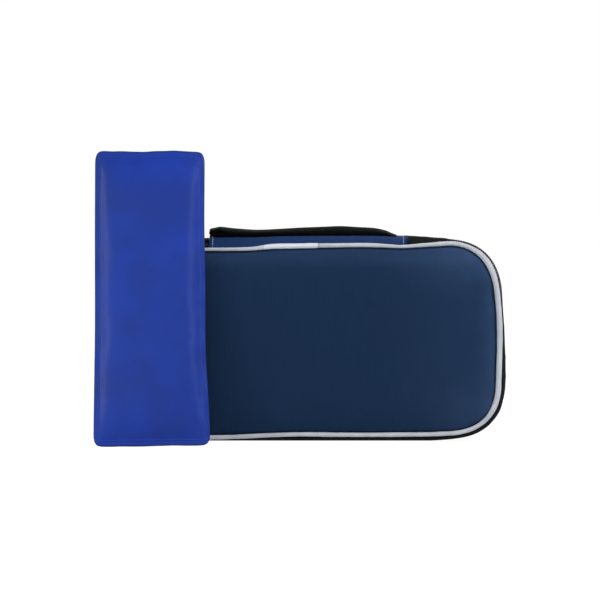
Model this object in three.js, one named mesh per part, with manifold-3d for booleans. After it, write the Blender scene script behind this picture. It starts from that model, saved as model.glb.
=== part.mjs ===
// Insulin cooling case: a zip-round soft case that stands on its long edge, with a gel pack leaning on it.
// Millimetres. +X right, +Y to the rear, +Z up. The front half faces -Y.
import * as THREE from "three";
import { mergeVertices } from "three/addons/utils/BufferGeometryUtils.js";
import loadManifold from "manifold-3d";

// Case
const caseWidth = 197;
const caseHeight = 99;
const cornerRadius = 24;
const sideBow = 1.5;
const halfDepth = 20;
const panelCrown = 3.8;
const crownRun = 14;
const panelSkin = 0.8;
const pipingRadius = 1.4;
const gussetReach = 3.2;
const gussetSkin = 0.9;
const boardThickness = 5;
const wallThickness = 4.6;
const liningThickness = 0.4;
const seat = 0.3;

// Spine and handle
const spineLength = 100;
const spineCrown = 4.6;
const spineFullness = 4;
const spineFoamThickness = 3;
const handleLength = 95.3;
const handleOffset = -1.65;
const handleWidth = 20;
const handleThickness = 1.8;
const tailLength = 11.3;
const strapRise = 1.9;
const strapDip = 0.5;

// Zip
const tapeThickness = 0.5;
const tapeWidth = 7.7;
const coilHeight = 1.1;
const coilWidth = 2;
const coilGap = 1.2;
const sliderLength = 8.4;
const sliderWidth = 6.6;
const sliderPlate = 0.8;
const sliderPost = 0.6;
const sliderHeight = 66;
const bridgeThickness = 0.8;
const bridgeWidth = 1.6;
const bridgeLength = 6.8;
const pullThickness = 1;
const pullWidth = 5.2;
const pullLength = 20;

// Pen bands and mesh pocket
const bandWidth = 25;
const bandSpacing = 90;
const bandThickness = 1;
const loopWidth = 18;
const loopHeight = 12;
const loopFlat = 4;
const loopCount = 3;
const netThickness = 0.5;
const netCrown = 2.8;
const netRun = 21;
const pocketHeight = 66;
const bindingHeight = 6;
const bindingThickness = 1.2;

// Gel pack
const packWidth = 58.5;
const packHeight = 147.2;
const packTopNarrowing = 3.5;
const packDrawIn = 1;
const packCornerRadius = 4;
const packFlange = 5;
const packBulge = 5;
const filmThickness = 0.5;
const packLean = THREE.MathUtils.degToRad(10);
const packInset = 19.7;

// Places that follow from the sizes
const edgeX = caseWidth / 2 - gussetReach - sideBow;
const edgeBottom = gussetReach;
const edgeTop = caseHeight - pipingRadius;
const middleZ = (edgeTop + edgeBottom) / 2;
const spineEnd = Math.min(spineLength / 2, edgeX - cornerRadius - 2);
const shoulderDepth = halfDepth - 5.5;
const gussetTop = halfDepth - pipingRadius - seat;
const boardFace = halfDepth - panelSkin / 2 - boardThickness + seat;
const liningFace = boardFace - seat - liningThickness;
const wallFace = boardFace - seat;
const tapeBack = 1;
const tapeFront = tapeBack + tapeThickness;
const tapeEdge = coilGap / 2 + 0.2;
const tapeEnd = tapeEdge + tapeWidth;
const coilBack = tapeFront + seat;
const coilFront = coilBack + coilHeight;
const hemEdge = tapeEnd - 3;
const hemBack = tapeFront + seat;
const sliderBack = tapeBack - seat;
const sliderFront = coilFront + seat;
const wallEdge = Math.max(sliderWidth / 2 + seat, tapeEdge + 2.6);
const wallInside = 2 - wallThickness;
const liningInset = -wallInside + seat;
const netRim = wallEdge - seat - netThickness / 2;
const packX = packInset - caseWidth / 2;
const standDepth = (shoulderDepth + tapeEnd + 1) / 2;

const library = await loadManifold();
library.setup();
const { Manifold, Mesh: ManifoldMesh } = library;

// Closed surface helpers
const vector = (x, y, z) => new THREE.Vector3(x, y, z);

function signedVolume(positions, faces) {
  let volume = 0;
  const corner = (i) => positions[faces[i]];
  for (let i = 0; i < faces.length; i += 3) {
    volume += corner(i).dot(corner(i + 1).clone().cross(corner(i + 2))) / 6;
  }
  return volume;
}

function solid(positions, faces) {
  const inward = signedVolume(positions, faces) < 0;
  const corners = inward ? [0, 2, 1] : [0, 1, 2];
  const turned = faces.map((_, i) => faces[i - (i % 3) + corners[i % 3]]);
  const geometry = new THREE.BufferGeometry().setFromPoints(positions);
  geometry.setIndex(turned);
  geometry.computeVertexNormals();
  return geometry;
}

// Rings of equal count joined in order, the last to the first unless the ends are closed.
function wrap(rings, spans) {
  const count = rings[0].length;
  const faces = [];
  for (let ring = 0; ring < spans; ring += 1) {
    const here = ring * count;
    const next = ((ring + 1) % rings.length) * count;
    for (let i = 0; i < count; i += 1) {
      const j = (i + 1) % count;
      faces.push(here + i, here + j, next + j, here + i, next + j, next + i);
    }
  }
  return faces;
}

function loftRound(rings) {
  return solid(rings.flat(), wrap(rings, rings.length));
}

function loft(rings, capFaces) {
  const faces = wrap(rings, rings.length - 1);
  const last = (rings.length - 1) * rings[0].length;
  capFaces.forEach(([a, b, c]) => faces.push(c, b, a, last + a, last + b, last + c));
  return solid(rings.flat(), faces);
}

// The same, with each end closed by a fan about its middle.
function loftPad(rings) {
  const count = rings[0].length;
  const last = (rings.length - 1) * count;
  const positions = rings.flat();
  const faces = wrap(rings, rings.length - 1);
  const middle = (ring) => ring.reduce((sum, p) => sum.add(p), vector(0, 0, 0)).divideScalar(count);
  const firstMiddle = positions.push(middle(rings[0])) - 1;
  const lastMiddle = positions.push(middle(rings.at(-1))) - 1;
  for (let i = 0; i < count; i += 1) {
    const j = (i + 1) % count;
    faces.push(j, i, firstMiddle, last + i, last + j, lastMiddle);
  }
  return solid(positions, faces);
}

// Triangles that fill a profile, turned the way its points run.
function capOf(profile) {
  const points = profile.map(([x, y]) => new THREE.Vector2(x, y));
  const turned = THREE.ShapeUtils.area(points) < 0;
  const order = points.map((_, i) => (turned ? points.length - 1 - i : i));
  const faces = THREE.ShapeUtils.triangulateShape(order.map((i) => points[i]), []);
  return faces.map((face) => (turned ? face.toReversed() : face).map((i) => order[i]));
}

// A flat profile carried from one place to another: place(point, end) gives its position at each end.
function prism(profile, start, end, place) {
  const rings = [start, end].map((along) => profile.map((point) => place(point, along)));
  return loft(rings, capOf(profile));
}

function toManifold(geometry) {
  const bare = new THREE.BufferGeometry();
  bare.setAttribute("position", geometry.getAttribute("position").clone());
  if (geometry.index) {
    bare.setIndex(geometry.index.clone());
  }
  const merged = mergeVertices(bare, 1e-5);
  const vertProperties = new Float32Array(merged.getAttribute("position").array);
  const triVerts = new Uint32Array(merged.index.array);
  return new Manifold(new ManifoldMesh({ numProp: 3, vertProperties, triVerts }));
}

function fromManifold(shape) {
  const mesh = shape.getMesh();
  const geometry = new THREE.BufferGeometry();
  geometry.setAttribute("position", new THREE.BufferAttribute(new Float32Array(mesh.vertProperties), 3));
  geometry.setIndex(new THREE.BufferAttribute(new Uint32Array(mesh.triVerts), 1));
  geometry.computeVertexNormals();
  return geometry;
}

function join(...geometries) {
  return fromManifold(geometries.map(toManifold).reduce((whole, piece) => whole.add(piece)));
}

function cut(geometry, ...tools) {
  return fromManifold(tools.map(toManifold).reduce((whole, tool) => whole.subtract(tool), toManifold(geometry)));
}

function common(geometry, other) {
  return fromManifold(toManifold(geometry).intersect(toManifold(other)));
}

function box(x0, x1, y0, y1, z0, z1) {
  const geometry = new THREE.BoxGeometry(x1 - x0, y1 - y0, z1 - z0);
  geometry.translate((x0 + x1) / 2, (y0 + y1) / 2, (z0 + z1) / 2);
  return geometry;
}

// The case outline at the piping: stations run from the spine's right end round the zip to its left end,
// then along the spine. Each has a place and the direction that points out of the case.
function bowAt(x, z) {
  const share = Math.max(0, (Math.abs(x) - edgeX + cornerRadius) / cornerRadius);
  return Math.sign(x) * share * sideBow * Math.sin((Math.PI * (z - edgeBottom)) / (edgeTop - edgeBottom));
}

function station(x, z, outX, outZ) {
  return { x: x + bowAt(x, z), z, outX, outZ };
}

function cornerStations(centreX, centreZ, fromAngle) {
  const steps = 5;
  return Array.from({ length: steps + 1 }, (_, i) => {
    const angle = fromAngle - (i / steps) * (Math.PI / 2);
    const outX = Math.cos(angle);
    const outZ = Math.sin(angle);
    return station(centreX + cornerRadius * outX, centreZ + cornerRadius * outZ, outX, outZ);
  });
}

function straightStations(fromX, fromZ, toX, toZ, outX, outZ, steps) {
  return Array.from({ length: steps - 1 }, (_, i) => {
    const share = (i + 1) / steps;
    return station(fromX + (toX - fromX) * share, fromZ + (toZ - fromZ) * share, outX, outZ);
  });
}

const cornerX = edgeX - cornerRadius;
const highZ = edgeTop - cornerRadius;
const lowZ = edgeBottom + cornerRadius;
const zipRun = [
  station(spineEnd, edgeTop, 0, 1),
  ...cornerStations(cornerX, highZ, Math.PI / 2),
  ...straightStations(edgeX, highZ, edgeX, lowZ, 1, 0, 4),
  ...cornerStations(cornerX, lowZ, 0),
  ...straightStations(cornerX, edgeBottom, -cornerX, edgeBottom, 0, -1, 3),
  ...cornerStations(-cornerX, lowZ, -Math.PI / 2),
  ...straightStations(-edgeX, lowZ, -edgeX, highZ, -1, 0, 4),
  ...cornerStations(-cornerX, highZ, Math.PI),
  station(-spineEnd, edgeTop, 0, 1),
];
const wholeLoop = [...zipRun, ...straightStations(-spineEnd, edgeTop, spineEnd, edgeTop, 0, 1, 3)];

const placeAt = (s, out, y) => vector(s.x + out * s.outX, y, s.z + out * s.outZ);

// A profile of [out from the piping line, depth from the zip plane] carried round the case.
function sweepZip(profile, side) {
  const rings = zipRun.map((s) => profile.map(([out, depth]) => placeAt(s, out, side * depth)));
  return loft(rings, capOf(profile));
}

function sweepLoop(profile, side) {
  const rings = wholeLoop.map((s) => profile.map(([out, depth]) => placeAt(s, out, side * depth)));
  return loftRound(rings);
}

// Rings that step in from the outline, each [inset, share toward the middle, depth], closed at both ends.
function padOf(steps, side) {
  const rings = steps.map(([inset, inward, depth]) =>
    wholeLoop.map((s) => {
      const point = placeAt(s, -inset, side * depth);
      point.x += (Math.sign(point.x) * Math.min(Math.abs(point.x), cornerX) - point.x) * inward;
      point.z += (middleZ - point.z) * inward;
      return point;
    }),
  );
  return loftPad(rings);
}

function roundProfile(out, depth, radiusOut, radiusDepth, sides) {
  return Array.from({ length: sides }, (_, i) => {
    const angle = ((i + 0.5) / sides) * Math.PI * 2;
    return [out + radiusOut * Math.cos(angle), depth + radiusDepth * Math.sin(angle)];
  });
}

// Panels, piping and gussets. The crown's steps are [share of its run, share of its height], and past the run
// [share toward the middle, share of its height].
const crownSteps = [
  [0, 0],
  [0.18, 0.34],
  [0.5, 0.66],
  [1, 0.88],
];
const crownCore = [
  [0.45, 0.98],
  [0.8, 1],
];
const panelRim = pipingRadius + seat;

function crownRings(rim, depth) {
  const rising = crownSteps.map(([step, share]) => [rim + step * crownRun, 0, depth + panelCrown * share]);
  const core = crownCore.map(([inward, share]) => [rim + crownRun, inward, depth + panelCrown * share]);
  return [...rising, ...core];
}

function panel(side) {
  const outer = halfDepth + panelSkin / 2;
  return padOf([...crownRings(panelRim, outer).toReversed(), ...crownRings(panelRim, outer - panelSkin)], side);
}

function piping(side) {
  return sweepLoop(roundProfile(0, halfDepth, pipingRadius, pipingRadius, 8), side);
}

function gusset(side) {
  const root = 0.2;
  const angles = [0, 30, 60, 90].map(THREE.MathUtils.degToRad);
  const shoulder = (skin) =>
    angles.map((angle) => [
      root + (gussetReach - root - skin) * Math.sin(angle),
      shoulderDepth + (gussetTop - shoulderDepth - skin) * Math.cos(angle),
    ]);
  const hemFront = hemBack + gussetSkin;
  const outside = [...shoulder(0), [gussetReach, tapeEnd + 1], [hemFront, tapeEnd - 0.2], [hemFront, hemEdge]];
  const inside = [...shoulder(gussetSkin), [gussetReach - gussetSkin, tapeEnd + 0.8], [hemBack, tapeEnd + 0.1]];
  return sweepZip([...outside, [hemBack, hemEdge], ...inside.toReversed()], side);
}

// Foam and lining
function foamBoard(side) {
  const rim = panelRim + seat;
  const outer = halfDepth - panelSkin / 2 - seat;
  return padOf([...crownRings(rim, outer).toReversed(), [rim, 0, boardFace]], side);
}

function foamWall(side) {
  const besideTape = tapeBack - seat;
  const besideGusset = gussetReach - gussetSkin - seat;
  const step = tapeEnd + 1.2;
  const profile = [
    [wallInside, wallEdge],
    [besideTape, wallEdge],
    [besideTape, step],
    [besideGusset, step],
    [besideGusset, wallFace - 0.8],
    [besideGusset - 0.8, wallFace],
    [wallInside, wallFace],
  ];
  return sweepZip(profile, side);
}

function lining(side) {
  const rim = [-liningInset, -liningInset - liningThickness];
  const wall = sweepZip([[rim[0], wallEdge], [rim[0], wallFace], [rim[1], wallFace], [rim[1], wallEdge]], side);
  const base = padOf([[liningInset, 0, wallFace], [liningInset, 0, liningFace]], side);
  return join(base, wall);
}

// Zip
function zipTape(side) {
  return sweepZip([[tapeBack, tapeEdge], [tapeFront, tapeEdge], [tapeFront, tapeEnd], [tapeBack, tapeEnd]], side);
}

function zipCoil(side) {
  const middle = coilGap / 2 + coilWidth / 2;
  return sweepZip(roundProfile((coilBack + coilFront) / 2, middle, coilHeight / 1.85, coilWidth / 1.85, 8), side);
}

// Slider parts are drawn with Z along the zip, Y across it and -X pointing out of the case.
const pivotOut = sliderFront + sliderPlate + 0.95;
const bridgeInside = pivotOut + 0.95;
const bridgeOutside = bridgeInside + bridgeThickness;

function sliderPlateSolid(outFrom, outTo) {
  const half = sliderLength / 2;
  const wide = sliderWidth / 2;
  const profile = [
    [-wide * 0.62, -half],
    [wide * 0.62, -half],
    [wide, -half * 0.3],
    [wide, half * 0.72],
    [wide * 0.5, half],
    [-wide * 0.5, half],
    [-wide, half * 0.72],
    [-wide, -half * 0.3],
  ];
  return prism(profile, outFrom, outTo, ([y, z], out) => vector(-out, y, z));
}

function bridge() {
  const half = bridgeLength / 2;
  const low = sliderFront + sliderPlate / 2;
  const outer = [
    [low, -half],
    [bridgeOutside - 0.7, -half],
    [bridgeOutside, -half + 0.9],
    [bridgeOutside, half - 0.9],
    [bridgeOutside - 0.7, half],
    [low, half],
  ];
  const inner = [
    [low, half - bridgeThickness],
    [bridgeInside, half - bridgeThickness],
    [bridgeInside, bridgeThickness - half],
    [low, bridgeThickness - half],
  ];
  return prism([...outer, ...inner], -bridgeWidth / 2, bridgeWidth / 2, ([out, z], y) => vector(-out, y, z));
}

function slider() {
  const back = sliderPlateSolid(sliderBack - sliderPlate, sliderBack);
  const front = sliderPlateSolid(sliderFront, sliderFront + sliderPlate);
  const half = sliderPost / 2;
  const post = box(-sliderFront - 0.2, -sliderBack + 0.2, -half, half, sliderLength * 0.1, sliderLength * 0.42);
  return join(back, front, post, bridge());
}

// The pull turns about its top bar, which is at its origin.
function pull() {
  const wide = pullWidth / 2;
  const thick = pullThickness / 2;
  const reach = Math.hypot(bridgeLength / 2, bridgeOutside - pivotOut) + seat;
  const profile = [
    [-wide, 0.5],
    [wide, 0.5],
    [wide, -reach - 2],
    [wide * 0.8, -pullLength + 1.5],
    [wide * 0.5, -pullLength],
    [-wide * 0.5, -pullLength],
    [-wide * 0.8, -pullLength + 1.5],
    [-wide, -reach - 2],
  ];
  const plate = prism(profile, -thick, thick, ([y, z], x) => vector(x, y, z));
  const windowHalf = bridgeWidth / 2 + seat;
  return cut(plate, box(-thick - 1, thick + 1, -windowHalf, windowHalf, -reach, -0.5));
}

// Spine and handle
const spineEdge = edgeTop + seat;
const spineReach = gussetTop;
const spineTop = (y) => spineEdge + spineCrown * (1 - (y / spineReach) ** spineFullness);

function acrossSpine(reach, count) {
  return Array.from({ length: count }, (_, i) => -reach + (2 * reach * i) / (count - 1));
}

function spineBand(reach, raise, underside, count) {
  const above = acrossSpine(reach, count).map((y) => [y, spineTop(y) + raise]);
  const below = acrossSpine(reach, count).map((y) => [y, underside(y)]);
  return [...above, ...below.toReversed()];
}

function spineLayer(profile, inset) {
  return prism(profile, inset - spineEnd, spineEnd - inset, ([y, z], x) => vector(x, y, z));
}

const spineFoamTop = -panelSkin - seat;
const spineFoamBase = spineEdge + spineFoamTop - spineFoamThickness;

function spinePanel() {
  return spineLayer(spineBand(spineReach, 0, (y) => spineTop(y) - panelSkin, 17), seat);
}

function spineFoam() {
  return spineLayer(spineBand(liningFace - seat, spineFoamTop, () => spineFoamBase, 9), seat);
}

function spineLining() {
  const half = liningFace - seat;
  const top = spineFoamBase - seat;
  return spineLayer([[-half, top], [half, top], [half, top - liningThickness], [-half, top - liningThickness]], seat);
}

const handleStart = handleOffset - handleLength / 2;
const handleEnd = handleOffset + handleLength / 2;
const webbing = spineBand(handleWidth / 2, seat + handleThickness, (y) => spineTop(y) + seat, 5);

function handleTail(from, to) {
  return prism(webbing, from, to, ([y, z], x) => vector(x, y, z));
}

function handleStrap() {
  const from = handleStart + tailLength + seat;
  const to = handleEnd - tailLength - seat;
  const count = 15;
  const rings = Array.from({ length: count }, (_, i) => {
    const share = i / (count - 1);
    const arch = strapRise * Math.sin(Math.PI * share) ** 2;
    const lift = arch + strapDip * Math.sin(2 * Math.PI * (share + 0.5)) * Math.sin(Math.PI * share);
    return webbing.map(([y, z]) => vector(from + (to - from) * share, y, z + lift));
  });
  return loft(rings, capOf(webbing));
}

// Pen bands: one strip that lies on the lining between loops and arches over each pen.
function penBand() {
  const back = liningFace - seat;
  const tall = Math.min(loopHeight, back - 1.5);
  const pitch = loopWidth + loopFlat;
  const room = edgeTop - edgeBottom - 2 * liningInset - 10;
  const loops = Math.max(1, Math.min(loopCount, Math.floor((room - loopFlat) / pitch)));
  const steps = 8;
  const front = [];
  const under = [];
  const start = middleZ - (loops * pitch + loopFlat) / 2;
  for (let loop = 0; loop < loops; loop += 1) {
    const centre = start + loopFlat + loopWidth / 2 + loop * pitch;
    for (let i = 0; i <= steps; i += 1) {
      const angle = Math.PI - (i / steps) * Math.PI;
      const rise = Math.max(bandThickness, tall * Math.sin(angle));
      front.push([centre + (loopWidth / 2) * Math.cos(angle), back - rise]);
      const inner = loopWidth / 2 - bandThickness;
      under.push([centre + inner * Math.cos(angle), back - (tall - bandThickness) * Math.sin(angle)]);
    }
  }
  const end = start + loops * pitch + loopFlat;
  const profile = [[start, back], [start, back - bandThickness], ...front];
  profile.push([end, back - bandThickness], [end, back], ...under.toReversed());
  return prism(profile, -bandWidth / 2, bandWidth / 2, ([z, depth], x) => vector(x, -depth, z));
}

// Mesh pocket: a sheet that swells toward the zip plane, open along its top.
function netDepth(inset) {
  const share = Math.min(1, Math.max(0, inset - liningInset) / netRun);
  return netRim - netCrown * (1 - (1 - share) ** 2);
}

function meshPocket() {
  const insets = [0, 0.2, 0.5, 1].map((step) => liningInset + step * netRun);
  const sheet = (lift) => insets.map((inset) => [inset, 0, netDepth(inset) + lift]);
  const core = (lift) => [[insets[3], 0.6, netRim - netCrown + lift]];
  const half = netThickness / 2;
  const steps = [...core(-half), ...sheet(-half).toReversed(), ...sheet(half), ...core(half)];
  const room = box(-caseWidth, caseWidth, -halfDepth, halfDepth, -1, pocketHeight);
  return common(padOf(steps, 1), room);
}

function pocketBinding() {
  const count = 13;
  const side = edgeX + Math.abs(bowAt(edgeX, pocketHeight + bindingHeight));
  const reach = side - liningInset - 0.5;
  const low = pocketHeight + seat;
  const rings = Array.from({ length: count }, (_, i) => {
    const x = reach * Math.sin((Math.PI / 2) * ((2 * i) / (count - 1) - 1));
    const depth = netDepth(side - Math.abs(x)) + netThickness / 2;
    const front = depth - bindingThickness;
    return [[front, low], [depth, low], [depth, low + bindingHeight], [front, low + bindingHeight]].map(
      ([y, z]) => vector(x, y, z),
    );
  });
  return loft(rings, capOf([[0, 0], [1, 0], [1, 1], [0, 1]]));
}

// Gel pack, drawn flat: X across, Z up its height, -Y toward the front. Its middle plane is at Y 0.
function packCorner(side, centreZ, fromAngle) {
  const steps = 2;
  const centreX = side * (packWidth / 2 - packCornerRadius);
  return Array.from({ length: steps + 1 }, (_, i) => {
    const angle = fromAngle - (i / steps) * (Math.PI / 2);
    const outX = Math.cos(angle);
    const outZ = Math.sin(angle);
    return [centreX + packCornerRadius * outX, centreZ + packCornerRadius * outZ, outX, outZ];
  });
}

function packStraight(from, to, steps) {
  return Array.from({ length: steps - 1 }, (_, i) => {
    const share = (i + 1) / steps;
    const [x, z] = [0, 1].map((axis) => from[axis] + (to[axis] - from[axis]) * share);
    return [x, z, from[2], from[3]];
  });
}

function packOutline(inset) {
  const low = packCornerRadius;
  const high = packHeight - packCornerRadius;
  const corners = [
    packCorner(1, high, Math.PI / 2),
    packCorner(1, low, 0),
    packCorner(-1, low, -Math.PI / 2),
    packCorner(-1, high, Math.PI),
  ];
  const points = corners.flatMap((corner, i) => {
    const next = corners[(i + 1) % corners.length];
    return [...corner, ...packStraight(corner.at(-1), next[0], i % 2 === 0 ? 7 : 3)];
  });
  return points.map(([x, z, outX, outZ]) => {
    const narrowing = 1 - (packTopNarrowing / packWidth) * (z / packHeight);
    const drawn = 1 - (2 * packDrawIn * Math.sin((Math.PI * z) / packHeight)) / packWidth;
    return [x * narrowing * drawn - inset * outX, z - inset * outZ];
  });
}

const packPillow = [0.12, 0.3, 0.55, 0.82];
const flangeRise = 0.15;
const pillowRise = (share) => flangeRise + (packBulge - flangeRise) * (1 - (1 - share) ** 2) ** 0.8;

function packRing(inset, inward, y) {
  const reach = packWidth / 2;
  return packOutline(inset).map(([x, z]) => {
    const spineZ = Math.min(packHeight - reach, Math.max(reach, z));
    return vector(x * (1 - inward), y, z + (spineZ - z) * inward);
  });
}

function packSurface(lift) {
  const flange = [packRing(0, 0, lift), packRing(packFlange, 0, lift + flangeRise)];
  return [...flange, ...packPillow.map((share) => packRing(packFlange, share, lift + pillowRise(share)))];
}

function packFilm(side) {
  const inner = packSurface(seat / 2);
  const outer = packSurface(seat / 2 + filmThickness);
  const [first, last] = side > 0 ? [outer, inner] : [inner, outer];
  const rings = [...first.toReversed(), ...last];
  rings.flat().forEach((point) => point.setY(point.y * side));
  return loftPad(rings);
}

function gelFill() {
  const level = (share) => pillowRise(share) - seat / 2;
  const back = packPillow.map((share) => packRing(packFlange, share, level(share)));
  const front = packPillow.map((share) => packRing(packFlange, share, -level(share)));
  const rings = [...back.toReversed(), ...front];
  return loftPad(rings);
}

// Assembly
function material(color, roughness, metalness = 0) {
  return new THREE.MeshStandardMaterial({ color, roughness, metalness });
}

function piece(name, geometry, ...finish) {
  const mesh = new THREE.Mesh(geometry, material(...finish));
  mesh.name = name;
  return mesh;
}

const navy = ["#1a2c49", 0.85];
const silver = ["#bfc1c9", 0.6];
const black = ["#15161a", 0.85];
const brightBlue = ["#1f4079", 0.85];
const foam = ["#d9dade", 0.95];
const foil = ["#c9ccd1", 0.3, 0.7];
const zinc = ["#2a2c30", 0.4, 0.8];
const vinyl = ["#263d92", 0.4];
const gel = ["#3b6fc4", 0.3];

function half(name, side) {
  const group = new THREE.Group();
  group.add(
    piece(`${name}_panel`, panel(side), ...navy),
    piece(`${name}_piping`, piping(side), ...silver),
    piece(`${name}_gusset`, gusset(side), ...black),
    piece(`${name}_foam_board`, foamBoard(side), ...foam),
    piece(`${name}_foam_wall`, foamWall(side), ...foam),
    piece(`${name}_lining`, lining(side), ...foil),
    piece(`${name}_zip_tape`, zipTape(side), ...black),
    piece(`${name}_zip_coil`, zipCoil(side), ...black),
  );
  return group;
}

function penBands() {
  const group = new THREE.Group();
  [["left", -1], ["right", 1]].forEach(([name, side]) => {
    const band = piece(`pen_band_${name}`, penBand(), ...black);
    band.position.x = (side * bandSpacing) / 2;
    group.add(band);
  });
  return group;
}

function spineAndHandle() {
  const group = new THREE.Group();
  group.add(
    piece("spine_panel", spinePanel(), ...brightBlue),
    piece("spine_foam", spineFoam(), ...foam),
    piece("spine_lining", spineLining(), ...foil),
    piece("handle_left_tail", handleTail(handleStart, handleStart + tailLength), ...black),
    piece("handle_strap", handleStrap(), ...black),
    piece("handle_right_tail", handleTail(handleEnd - tailLength, handleEnd), ...black),
  );
  return group;
}

// The slider is parked high on the straight of the left side, with its pull hanging.
function zipSlider() {
  const group = new THREE.Group();
  group.position.set(-edgeX + bowAt(-edgeX, sliderHeight), 0, sliderHeight);
  const tab = piece("zip_pull", pull(), ...zinc);
  tab.position.x = -pivotOut;
  group.add(piece("zip_slider", slider(), ...zinc), tab);
  return group;
}

function gelPack() {
  const group = new THREE.Group();
  group.add(
    piece("pack_front_film", packFilm(-1), ...vinyl),
    piece("pack_back_film", packFilm(1), ...vinyl),
    piece("gel_fill", gelFill(), ...gel),
  );
  const thickness = seat / 2 + filmThickness;
  const restZ = edgeTop;
  const contact = halfDepth + pipingRadius + seat;
  const behind = restZ * Math.tan(packLean) + (thickness + packBulge) / Math.cos(packLean);
  group.position.set(packX, -contact - behind, thickness * Math.sin(packLean));
  group.rotation.x = -packLean;
  return group;
}

// The origin is on the front half's flat underside, where the case stands.
const coolingCase = new THREE.Group();
coolingCase.position.y = standDepth;
coolingCase.add(
  half("front", -1),
  half("rear", 1),
  penBands(),
  piece("mesh_pocket", meshPocket(), ...black),
  piece("pocket_binding", pocketBinding(), ...black),
  spineAndHandle(),
  zipSlider(),
  gelPack(),
);

export default coolingCase;
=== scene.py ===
"""Looks of the insulin cooling case: cloth, piping, zip, handle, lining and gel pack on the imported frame."""
import math

import bmesh
import bpy
import numpy as np
from mathutils import Matrix, Vector, noise


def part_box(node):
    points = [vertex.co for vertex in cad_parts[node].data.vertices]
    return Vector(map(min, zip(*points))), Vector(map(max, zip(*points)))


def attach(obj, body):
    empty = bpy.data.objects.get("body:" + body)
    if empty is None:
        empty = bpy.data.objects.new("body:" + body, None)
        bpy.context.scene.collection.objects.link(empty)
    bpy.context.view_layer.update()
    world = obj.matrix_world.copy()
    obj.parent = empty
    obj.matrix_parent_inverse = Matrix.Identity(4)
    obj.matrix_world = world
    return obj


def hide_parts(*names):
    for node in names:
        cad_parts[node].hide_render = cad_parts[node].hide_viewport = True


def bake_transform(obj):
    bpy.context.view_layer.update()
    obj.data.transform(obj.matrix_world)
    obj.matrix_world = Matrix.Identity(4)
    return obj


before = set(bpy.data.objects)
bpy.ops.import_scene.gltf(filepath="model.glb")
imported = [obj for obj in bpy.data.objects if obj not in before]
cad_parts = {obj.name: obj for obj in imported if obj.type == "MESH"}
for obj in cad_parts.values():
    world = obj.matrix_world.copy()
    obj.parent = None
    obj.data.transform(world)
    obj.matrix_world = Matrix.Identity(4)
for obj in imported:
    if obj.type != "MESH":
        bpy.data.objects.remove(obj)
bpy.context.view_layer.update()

# Sizes in millimetres, as the solids have them. Depth is measured from the zip plane.
MM = 0.001
ZIP_Y = (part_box("front_panel")[0].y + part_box("rear_panel")[1].y) / 2 / MM
EDGE_X = 93.8
EDGE_LOW = 3.2
EDGE_TOP = 97.6
CORNER = 24.0
SIDE_BOW = 1.5
HALF_DEPTH = 20.0
PIPING = 1.4
PANEL_RIM = 1.3
PANEL_CROWN = 4.5
CROWN_RUN = 8.5
CURVE_BAND = 14.0
PANEL_SKIN = 0.8
FOAM_GAP = 0.4
SPINE_END = 50.0
SPINE_REACH = 18.3
SPINE_EDGE = 97.9
SPINE_CROWN = 4.6
SPINE_FULLNESS = 4
WEB_WIDTH = 20.0
WEB_THICK = 1.8
PACK_WIDTH = 58.5
PACK_HEIGHT = 147.2
PACK_NARROWING = 3.5
PACK_FLANGE = 2.8
PACK_CORNER = 4.0
FILM = 0.5
FILM_GAP = 0.15
PACK_LEAN = math.radians(10)
PACK_X = -78.8
BOARD_RIM = 2.9
BOARD_FACE = 14.9
WALL_FACE = 14.6
LINING_RIM = 2.9
LINING_FACE = 14.2
LINING_SKIN = 0.4
SPINE_INSIDE = 13.9
SPINE_FOAM_BASE = 93.8
SPINE_LINING_TOP = 93.5
SPINE_FILL = (-48.6, 48.6)
SPINE_ENDS = ((-49.7, -48.9), (48.9, 49.7))
STITCH_ROWS = (-48.0, 47.5)
BAND_X = 45.0
BAND_WIDTH = 25.0
BAND_THICK = 1.0
BAND_BACK = 13.9
LOOP_WIDTH = 18.0
LOOP_HEIGHT = 12.0
LOOP_FLAT = 4.0
LOOP_CENTRES = (28.4, 50.4, 72.4)
NET_RIM = 3.05
NET_CROWN = 2.8
NET_RUN = 21.0
NET_TUCK = 1.2
POCKET_TOP = 66.0
BINDING_HEIGHT = 6.0
BINDING_THICK = 1.2
FRONT, REAR = -1, 1

CORNER_X = EDGE_X - CORNER
MIDDLE_Z = (EDGE_TOP + EDGE_LOW) / 2
ARC = CORNER * math.pi / 2
SIDE = EDGE_TOP - EDGE_LOW - 2 * CORNER
LOOP = 4 * CORNER_X + 4 * ARC + 2 * SIDE


# Numbers over arrays
def ease(value, low, high):
    """0 below low, 1 above high, smooth between."""
    t = np.clip((value - low) / (high - low), 0, 1)
    return t * t * (3 - 2 * t)


def bell(value, centre, width):
    return np.exp(-(((value - centre) / width) ** 2))


def waves(value, seed, reach=1.0):
    """Slow uneven waves along a line, about -1 to 1, alike on every run."""
    rng = np.random.default_rng(seed)
    total = 0
    for octave in (1.0, 1.7, 2.9, 4.3):
        total = total + np.sin(value * octave / reach + rng.uniform(0, 6.28)) / octave
    return total / 1.8


def lumps(x, y, z, size, seed):
    """Smooth noise at points, about -1 to 1."""
    flat = np.column_stack([np.ravel(a) for a in np.broadcast_arrays(x, y, z)]) / size + seed * 7.31
    values = [noise.noise(Vector(p)) for p in flat]
    return np.array(values).reshape(np.broadcast(x, y, z).shape)


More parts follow.
